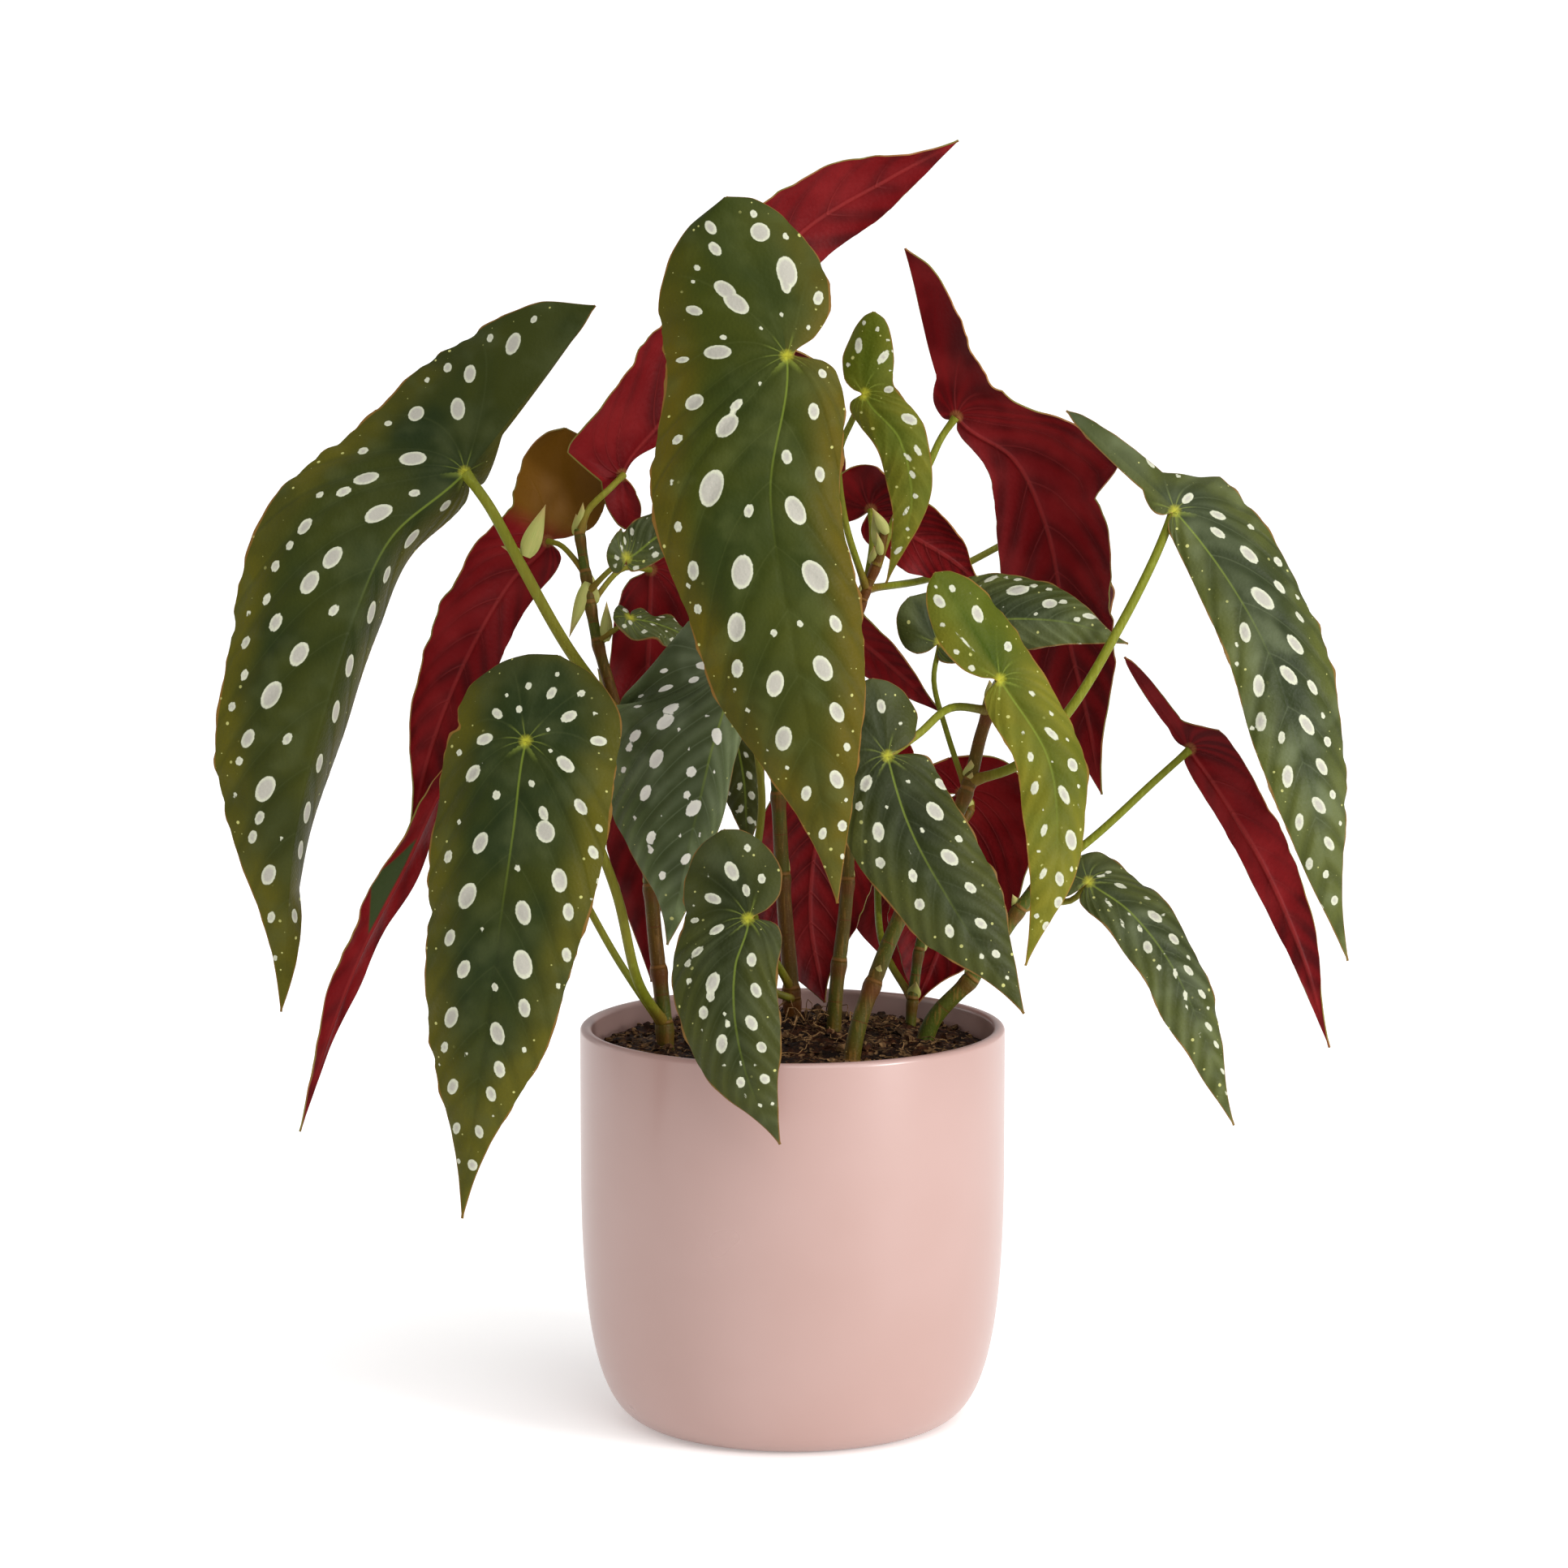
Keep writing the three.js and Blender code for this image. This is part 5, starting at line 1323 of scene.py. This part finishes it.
# A cane is thicker just below each node and thinner just above it: how much, where and how far.
NODE_SWELLINGS = ((0.2, -1, 2.6), (-0.1, 1.6, 0.8))

STALK_SIDES = 14
STALK_TAPER = 0.85  # radius of a stalk at its blade as a part of that at its cane
STALK_FOOT = (0.4, 3.5)  # how much a stalk widens at its cane, and how far that reaches
STALK_HEAD = (0.22, 2.5)  # and at its blade
STALK_SINK = 0.8  # how far behind the blade a stalk ends, in stalk radii

# What the first number of the stem attribute says of a vertex.
IS_CANE, IS_STALK, IS_SCALE = 0, 1, 2

STIPULE_STRETCH = 1.1  # a papery scale reaches a little past the plain one of the solid
SCALE_THICKNESS = 0.25
NODE_SCALE_WIDTH = 0.36  # half width of the small scale at each node, as a part of its length

# Big scales, each as its root, its lean, its length and its half width as a part of the length.
BIG_SCALES = {
    "cane_left": (
        ((-86.5, -9, 287), (0.36, 0.1, 0.93), 18, 0.2),
        ((-67, 7, 277), (-0.33, -0.15, -0.94), 19, 0.13),
        ((-61, 4, 258), (0.02, -0.1, 1), 13, 0.18),
        ((-88, -8, 288), (-0.9, 0.2, 0.3), 7, 0.2),
    ),
    "cane_mid": (
        ((31, 7, 293), (-0.5, -0.2, 0.85), 10, 0.2), ((29, 8, 286), (-0.2, -0.4, 1), 8, 0.2),
    ),
}


def node_places(cane, route):
    """Distances along a cane, in millimetres, at which it is jointed."""
    joints = sorted({leaf["joint"] * route.total for leaf in LEAVES if leaf["cane"] == cane["name"]})
    bare = np.arange(FIRST_NODE, route.total, NODE_STEP).tolist()
    room = NODE_ROOM * NODE_STEP
    return joints + [node for node in bare if all(abs(node - joint) > room for joint in joints)]


def add_cane(bm, layer, cane, route, nodes):
    """The jointed cane itself. Its nodes are in millimetres from its foot."""
    foot, top = cane["radius"]

    def to_node(part):
        gaps = [part * route.total - node for node in nodes]
        return min(gaps, key=abs)

    def radius_at(part):
        gap = to_node(part)
        swelling = sum(much * bell(gap - at, reach) for much, at, reach in NODE_SWELLINGS)
        return MM * (foot + (top - foot) * part) * (1 + swelling)

    def paint(part, verts):
        for vert in verts:
            vert[layer] = (IS_CANE, to_node(part), part)

    scaled = Route([Vector(p) * MM for p in cane["path"]])
    tube(bm, scaled, radius_at, CANE_SIDES, round(route.total / RING_STEP), paint)


def add_stalk(bm, layer, leaf, start):
    """A leaf stalk from its cane into the back of its blade."""
    centre, _, normal = Blade(leaf).frame_at(0)
    end = centre - normal * (STALK_SINK * leaf["stalk_radius"])
    route = Route([Vector(p) * MM for p in (start, *leaf.get("stalk", ()), end)])
    radius = leaf["stalk_radius"] * MM
    total = route.total / MM

    def radius_at(part):
        foot = STALK_FOOT[0] * bell(part * total, STALK_FOOT[1])
        head = STALK_HEAD[0] * bell((1 - part) * total, STALK_HEAD[1])
        return radius * (1 + (STALK_TAPER - 1) * part) * (1 + foot + head)

    def paint(part, verts):
        for vert in verts:
            vert[layer] = (IS_STALK, part * total, part)

    tube(bm, route, radius_at, STALK_SIDES, max(6, round(total / STALK_RING_STEP)), paint)


def add_scale(bm, layer, root, lean, length, width=0.2):
    """A papery pointed scale: a small grid, narrowed to a point, cupped and bent outwards."""
    before = set(bm.faces)
    verts = bmesh.ops.create_grid(bm, x_segments=12, y_segments=6, size=1)["verts"]
    up = Vector(lean).normalized()
    side = up.cross(Vector((0, -1, 0.2))).normalized()
    out = side.cross(up)
    for vert in verts:
        along = (vert.co.x + 1) / 2
        across = vert.co.y
        spread = math.sin(math.pi * min(along * 0.94 + 0.06, 1) ** 0.7) * (1 - 0.35 * along)
        half = width * length * spread
        cup = half * 0.45 * across * across + 0.12 * length * along * along
        vert.co = (root + up * (length * along) + side * (half * across) - out * cup) * MM
        vert[layer] = (IS_SCALE, along, across)
    made = [face for face in bm.faces if face not in before]
    bmesh.ops.solidify(bm, geom=made, thickness=SCALE_THICKNESS * MM)
    for face in bm.faces:
        if face not in before:
            face.material_index = 1


# Colours of the marks on canes, stalks and scales.
BARK_STREAK = "#85602a"
BARK_FLECK = "#8f7c44"
NODE_RING = "#7d5526"
BELOW_NODE = "#5e2a10"
STALK_YELLOW = "#74701f"
STALK_STREAK = "#8c9638"
STALK_FOOT_RED = "#6a401a"
SCALE_GREEN = "#8f9a48"
SCALE_TIP = "#a5794a"


def stem_material(settings):
    """Canes mottled brown and green, ringed at the nodes, and greener stalks."""
    g = Graph("stem")
    is_stalk, node, _ = g.attribute("stem")
    here = g.place()
    clouds = g.cloud(here, 16, 2)
    streaks = g.cloud(g.stretched(here, (1, 1, 0.12)), 900, 2)
    flecks = g.cells(here, 1100)
    bark = g.mix(clouds.rise(0.42, 0.6), settings.cane, settings.cane_green)
    bark = g.mix(streaks.rise(0.5, 0.75) * 0.5, bark, BARK_STREAK)
    bark = g.mix(flecks.fall(0.08, 0.2) * 0.4, bark, BARK_FLECK)
    ring = (node - 0.8).size().fall(0.2, 0.9)
    bark = g.mix(ring * 0.7, bark, NODE_RING)
    bark = g.mix((node + 2.5).size().fall(0.5, 4.5) * 0.5, bark, BELOW_NODE)
    stalk = g.mix(clouds.rise(0.42, 0.62), settings.stalk, STALK_YELLOW)
    stalk = g.mix(streaks.rise(0.45, 0.8) * 0.35, stalk, STALK_STREAK)
    stalk = g.mix(node.fall(1, 14) * is_stalk * 0.6, stalk, STALK_FOOT_RED)
    base = g.mix(is_stalk, bark, stalk)
    height = streaks * 0.6 + flecks * 0.3 + ring * 1.5 * (1 - is_stalk)
    normal = g.bump(height, 0.0005, 0.6)
    return g.finish(base=base, roughness=0.42 + 0.15 * clouds, normal=normal, specular=0.14)


def scale_material(settings):
    """Papery scales: pale yellow green with fine lengthwise lines and a browner tip."""
    g = Graph("stem_scale")
    _, along, across = g.attribute("stem")
    lines = g.cloud(g.vector(along * 1.5, across * 9), 2.2, 2)
    base = g.mix(lines.rise(0.35, 0.7), settings.scale, SCALE_GREEN)
    base = g.mix(along.rise(0.55, 1) * 0.55, base, SCALE_TIP)
    normal = g.bump(lines, 0.0002, 0.5)
    return g.finish(base=base, roughness=0.55, normal=normal)


class BEGONIA_OT_canes(bpy.types.Operator):
    """Builds the canes with their leaf stalks and scales"""

    bl_idname = "begonia.canes"
    bl_label = "Canes"

    def execute(self, context):
        settings = context.scene.begonia.stems
        materials = [stem_material(settings), scale_material(settings)]
        for cane in CANES:
            name = cane["name"]
            bm = bmesh.new()
            layer = bm.verts.layers.float_vector.new("stem")
            route = Route(cane["path"])
            nodes = node_places(cane, route)
            add_cane(bm, layer, cane, route, nodes)
            for leaf in LEAVES:
                if leaf["cane"] == name:
                    add_stalk(bm, layer, leaf, route.at(leaf["joint"]))
            for scale in cane.get("stipules", ()):
                length = STIPULE_STRETCH * scale["length"]
                add_scale(bm, layer, route.at(scale["joint"]), scale["lean"], length)
            for root, lean, length, width in BIG_SCALES.get(name, ()):
                add_scale(bm, layer, Vector(root), lean, length, width)
            dice = random.Random(name)
            for node in nodes:
                root = route.at(node / route.total)
                lean = (dice.uniform(-0.5, 0.5), dice.uniform(-0.6, 0.3), 1)
                add_scale(bm, layer, root, lean, dice.uniform(5, 8), NODE_SCALE_WIDTH)
            sharpen(bm, 60)
            add_piece(name.replace("cane", "stems", 1), bm, materials, name)
        return {"FINISHED"}


# ---- pot and soil

BELLY_HEIGHT = 0.085  # the wall is straight above this height
BASE_RADIUS = 0.047
BELLY_TURN_RADIUS = 0.0635  # with the next, how full the belly's curve is
BELLY_TURN_HEIGHT = 0.026
FLOOR_HEIGHT = 0.006
FLOOR_CORNER = 0.005  # how far in from the inside's lowest ring the flat floor starts
RIM_ROUND = 0.0016
INSIDE_ABOVE = FLOOR_HEIGHT + 0.001  # where the belly's inside starts


def belly_profile(settings, inset, steps):
    """The pot's outside from its flat base to its straight wall, moved inwards by an inset."""
    corners = (
        (BASE_RADIUS, 0), (BELLY_TURN_RADIUS, 0), (settings.radius, BELLY_TURN_HEIGHT),
        (settings.radius, BELLY_HEIGHT),
    )
    points = []
    for t in np.linspace(0, 1, steps + 1):
        ahead = Vector(bezier(corners, within(t + 0.01)))
        behind = Vector(bezier(corners, within(t - 0.01)))
        way = (ahead - behind).normalized()
        radius, height = bezier(corners, t)
        points.append((radius - way.y * inset, height + way.x * inset))
    return points


def pot_material(settings):
    """Smooth satin glaze with a very faint cloudiness."""
    g = Graph("glaze")
    here = g.place()
    clouds = g.cloud(here, 14, 3)
    base = g.mix(clouds.rise(0.3, 0.7), settings.glaze, settings.glaze_deep)
    return g.finish(base=base, roughness=0.26 + 0.04 * clouds, specular=0.65)


class BEGONIA_OT_pot(bpy.types.Operator):
    """Builds the glazed pot"""

    bl_idname = "begonia.pot"
    bl_label = "Pot"

    def execute(self, context):
        settings = context.scene.begonia.pot
        middle = settings.radius - settings.wall / 2
        rim = [
            (middle + settings.wall / 2 * math.cos(turn),
             settings.height - RIM_ROUND + RIM_ROUND * math.sin(turn))
            for turn in np.linspace(0, math.pi, 11)
        ]
        inside = [p for p in belly_profile(settings, settings.wall, 30) if p[1] > INSIDE_ABOVE]
        inside.reverse()
        floor = [(inside[-1][0] - FLOOR_CORNER, FLOOR_HEIGHT), (0, FLOOR_HEIGHT)]
        bm = bmesh.new()
        spin_profile(bm, [(0, 0), *belly_profile(settings, 0, 40), *rim, *inside, *floor], 160)
        sharpen(bm, 50)
        add_piece("glazed_pot", bm, [pot_material(settings)], "pot")
        return {"FINISHED"}


SOIL_GAP = 0.0003  # between the soil and the pot
SOIL_CORNER = 0.004  # how far in from its lowest ring the soil's flat foot starts
CROWN = (0.004, 0.012)  # the soil stands higher here, among the canes
CROWN_REACH = 0.016
EDGE_DROP = 0.001  # and lower at the wall

# Relief of the soil: its height in metres, its lumps per metre and the slice of noise it is from.
LUMPS = (0.0022, 70, 0.3)
CRUMBS = (0.0013, 230, 1.7)
GRAINS = (0.0007, 620, 4.1)

# Loose bits. Their reaches are parts of the way from the middle to the wall.
CRUMB_SHAPE = (1.1, 1, 0.8)
CHIP_SHAPE = (2.0, 0.8, 0.35)  # a chip of bark, long and flat
CHIP_SHARE = 0.35
CRUMB_RISE = 0.35  # how high a crumb's middle lies above the soil, in its own half heights
CRUMB_REACH = 0.985
ROOT_START = 0.9  # root threads start nearer the middle than this
ROOT_REACH = 0.96  # and end before this
LOW_ROOT = 1.5  # how far a thread may lie above the soil, in millimetres
TANGLE = 9  # and how much more of it in the crown

DAMP_BROWN = "#3f1f09"


def crown_at(x, y):
    """1 in the middle of the crown, and less away from it."""
    return bell(math.dist((x, y), CROWN), CROWN_REACH)


def soil_height(x, y, settings, wall_radius):
    """Height of the crumbly top at a place, in metres."""
    def relief(height, density, level):
        return height * noise.noise(Vector((x, y, level)) * density)

    out = math.hypot(x, y) / wall_radius
    mound = settings.mound * (1 - out ** 2 + crown_at(x, y)) - EDGE_DROP * out ** 6
    return settings.level + mound + relief(*LUMPS) + abs(relief(*CRUMBS)) + relief(*GRAINS)


def place_around(dice, radius):
    """A place at a distance from the pot's middle, in a random direction."""
    turn = dice.uniform(0, 2 * math.pi)
    return radius * math.cos(turn), radius * math.sin(turn)


def soil_material(settings):
    """Damp dark soil, its colour also painted shade from the leaves above, with paler bark and fibre
    in it.
    """
    g = Graph("soil_mix")
    bit, _, _ = g.attribute("crumb")
    here = g.place()
    clumps = g.cloud(here, 190, 4, 0.6)
    grains = g.cells(here, 620)
    dry = grains.output("Color").split()[0].rise(0.72, 0.95)
    # painted shade: the dark soil colour also stands in for the shadow of the dense leaves over the
    # soil
    base = g.mix(clumps.rise(0.42, 0.68), settings.dark, DAMP_BROWN)
    base = g.mix(dry * 0.5, base, settings.light)
    base = g.mix(bit.rise(0.05, 1), base, settings.light)
    normal = g.bump(clumps * 1.5 + grains, 0.0011, 0.9)
    return g.finish(base=base, roughness=0.66 + 0.2 * clumps, normal=normal, specular=0.15)


class BEGONIA_OT_soil(bpy.types.Operator):
    """Builds the soil with loose crumbs, bark and root threads on it"""

    bl_idname = "begonia.soil"
    bl_label = "Soil"

    def execute(self, context):
        settings = context.scene.begonia.soil
        pot = context.scene.begonia.pot
        wall_radius = pot.radius - pot.wall - SOIL_GAP
        wall = [p for p in belly_profile(pot, pot.wall + SOIL_GAP, 20) if p[1] > INSIDE_ABOVE]
        top = [(wall_radius * part, settings.level) for part in np.linspace(1, 0, 47)]
        foot = FLOOR_HEIGHT + SOIL_GAP
        bm = bmesh.new()
        layer = bm.verts.layers.float_vector.new("crumb")
        spin_profile(bm, [(0, foot), (wall[0][0] - SOIL_CORNER, foot), *wall, *top], 150)
        for vert in bm.verts:
            if vert.co.z > settings.level - 1e-5:
                vert.co.z = soil_height(vert.co.x, vert.co.y, settings, wall_radius)
        self.add_crumbs(bm, layer, settings, wall_radius)
        self.add_roots(bm, settings, wall_radius)
        sharpen(bm, 50)
        add_piece("soil_mix", bm, [soil_material(settings)], "soil")
        return {"FINISHED"}

    @staticmethod
    def add_crumbs(bm, layer, settings, wall_radius):
        """Scatters loose bits: round crumbs and flat chips of bark."""
        dice = random.Random(11)
        for _ in range(settings.crumbs):
            x, y = place_around(dice, CRUMB_REACH * wall_radius * math.sqrt(dice.random()))
            size = (0.4 + 1.7 * dice.random() ** 2) * MM
            is_chip = dice.random() < CHIP_SHARE
            shape = CHIP_SHAPE if is_chip else CRUMB_SHAPE
            scale = Vector(shape) * size * dice.uniform(0.8, 1.25)
            z = soil_height(x, y, settings, wall_radius) + CRUMB_RISE * scale.z
            spin = Quaternion((0, 0, 1), dice.uniform(0, 2 * math.pi))
            tip = Quaternion((dice.uniform(-1, 1), dice.uniform(-1, 1), 0.1), dice.uniform(0, 0.7))
            place = Matrix.LocRotScale(Vector((x, y, z)), tip @ spin, scale)
            verts = bmesh.ops.create_icosphere(bm, subdivisions=1, radius=1, matrix=place)["verts"]
            shade = dice.random() ** 3 * (1 if is_chip else 0.6)
            for vert in verts:
                vert.co += Vector((dice.uniform(-0.2, 0.2) * size for _ in range(3)))
                vert[layer] = (shade, 0, 0)

    @staticmethod
    def add_roots(bm, settings, wall_radius):
        """Lays fine curly threads over the soil, more tangled among the canes."""
        dice = random.Random(5)
        mesh = bpy.data.meshes.new("thread")
        for _ in range(settings.roots):
            x, y = place_around(dice, ROOT_START * wall_radius * dice.random() ** 0.7)
            heading = dice.uniform(0, 2 * math.pi)
            rise = LOW_ROOT + TANGLE * crown_at(x, y)
            stride = dice.uniform(1.4, 3.2) * MM
            points = []
            for _ in range(6):
                z = soil_height(x, y, settings, wall_radius) + dice.uniform(0.2, rise) * MM
                points.append(Vector((x, y, z)))
                heading += dice.uniform(-1.4, 1.4)
                x += stride * math.cos(heading)
                y += stride * math.sin(heading)
                if math.hypot(x, y) > ROOT_REACH * wall_radius:
                    break
            if len(points) < 3:
                continue
            shade = dice.uniform(0.2, 1) ** 1.3
            width = dice.uniform(0.14, 0.32) * MM
            thread = bmesh.new()
            layer = thread.verts.layers.float_vector.new("crumb")
            tube(thread, Route(points), lambda part: width * (1 - 0.5 * part), 4, 10)
            for vert in thread.verts:
                vert[layer] = (shade, 0, 0)
            thread.to_mesh(mesh)
            thread.free()
            bm.from_mesh(mesh)
        bpy.data.meshes.remove(mesh)


# ---- stage

CAMERA_PLACE = (-0.0028, -1.6, 0.4279)
CAMERA_TARGET = (-0.0028, 0, 0.2113)
SENSOR = 36.0
FOCAL_PIXELS = 6075  # focal length in pixels of the frame
FRAME_PIXELS = 1932

# Square soft boxes that face the plant: name, place, side in metres and power in watts.
SOFT_BOXES = (("left_box", (-1.3, 0.5, 0.6), 0.7, 3), ("right_box", (1.2, -0.9, 0.5), 0.42, 13))
BOX_TARGET = (0, 0, 0.2)
KEY_WAY = (-0.5, 0.6, -1)  # the way the key light shines
KEY_SPREAD = math.radians(70)
BACKDROP = 1.1  # brightness of the world where the camera sees it
FLOOR_SHADE = "#efedea"


def add_aimed(name, data, place, target):
    """Adds a light or a camera that faces a target."""
    made = bpy.data.objects.new(name, data)
    made.location = place
    made.rotation_euler = (Vector(target) - Vector(place)).to_track_quat("-Z", "Y").to_euler()
    bpy.context.scene.collection.objects.link(made)
    return made


class BEGONIA_OT_stage(bpy.types.Operator):
    """Builds the floor, the lights and the camera"""

    bl_idname = "begonia.stage"
    bl_label = "Stage"

    def execute(self, context):
        settings = context.scene.begonia.stage
        self.add_floor(settings)
        self.add_lights(context.scene, settings)
        self.add_camera(context.scene)
        return {"FINISHED"}

    @staticmethod
    def add_floor(settings):
        g = Graph("floor")
        base = g.mix(g.cloud(g.place(), 3, 2) * 0.1, settings.floor, FLOOR_SHADE)
        material = g.finish(base=base, roughness=0.7, glow=settings.floor_glow)
        bm = bmesh.new()
        bmesh.ops.create_grid(bm, x_segments=1, y_segments=1, size=30)
        floor = add_object("floor", bm, [material])

    @staticmethod
    def add_lights(scene, settings):
        world = bpy.data.worlds.new("studio")
        world.use_nodes = True
        tree = world.node_tree
        background = tree.nodes["Background"]
        background.inputs["Color"].default_value = (1, 1, 1, 1)
        seen = tree.nodes.new("ShaderNodeLightPath").outputs["Is Camera Ray"]
        strength = tree.nodes.new("ShaderNodeMapRange")
        strength.inputs["To Min"].default_value = settings.sky
        strength.inputs["To Max"].default_value = BACKDROP
        tree.links.new(seen, strength.inputs["Value"])
        tree.links.new(strength.outputs["Result"], background.inputs["Strength"])
        scene.world = world
        sun = bpy.data.lights.new("key", "SUN")
        sun.energy = settings.sun
        sun.angle = KEY_SPREAD
        add_aimed("key", sun, (0, 0, 0), KEY_WAY)
        for name, place, size, power in SOFT_BOXES:
            box = bpy.data.lights.new(name, "AREA")
            box.size = size
            box.energy = power
            add_aimed(name, box, place, BOX_TARGET)
        scene.view_settings.view_transform = "Standard"

    @staticmethod
    def add_camera(scene):
        lens = bpy.data.cameras.new("camera")
        lens.sensor_width = SENSOR
        lens.lens = SENSOR * FOCAL_PIXELS / FRAME_PIXELS
        lens.clip_end = 100
        scene.camera = add_aimed("camera", lens, CAMERA_PLACE, CAMERA_TARGET)


class BEGONIA_PT_panel(bpy.types.Panel):
    """Lists the begonia's pieces and their settings"""

    bl_idname = "BEGONIA_PT_panel"
    bl_label = "Potted begonia"
    bl_space_type = "VIEW_3D"
    bl_region_type = "UI"
    bl_category = "Begonia"

    def draw(self, context):
        settings = context.scene.begonia
        parts = (
            (BEGONIA_OT_pot, settings.pot),
            (BEGONIA_OT_soil, settings.soil),
            (BEGONIA_OT_canes, settings.stems),
            (BEGONIA_OT_leaves, settings.leaves),
            (BEGONIA_OT_stage, settings.stage),
        )
        for operator, group in parts:
            box = self.layout.box()
            for name in group.bl_rna.properties.keys():
                if name not in ("rna_type", "name"):
                    box.prop(group, name)
            box.operator(operator.bl_idname)


CLASSES = (
    PotSettings, SoilSettings, StemSettings, LeafSettings, StageSettings, BegoniaSettings,
    BEGONIA_OT_pot, BEGONIA_OT_soil, BEGONIA_OT_canes, BEGONIA_OT_leaves, BEGONIA_OT_stage,
    BEGONIA_PT_panel,
)


def register():
    for one in CLASSES:
        bpy.utils.register_class(one)
    bpy.types.Scene.begonia = PointerProperty(type=BegoniaSettings)


def unregister():
    del bpy.types.Scene.begonia
    for one in reversed(CLASSES):
        bpy.utils.unregister_class(one)


def main():
    register()
    bpy.ops.begonia.stage()
    bpy.ops.begonia.pot()
    bpy.ops.begonia.soil()
    bpy.ops.begonia.canes()
    bpy.ops.begonia.leaves()


if __name__ == "__main__":
    main()
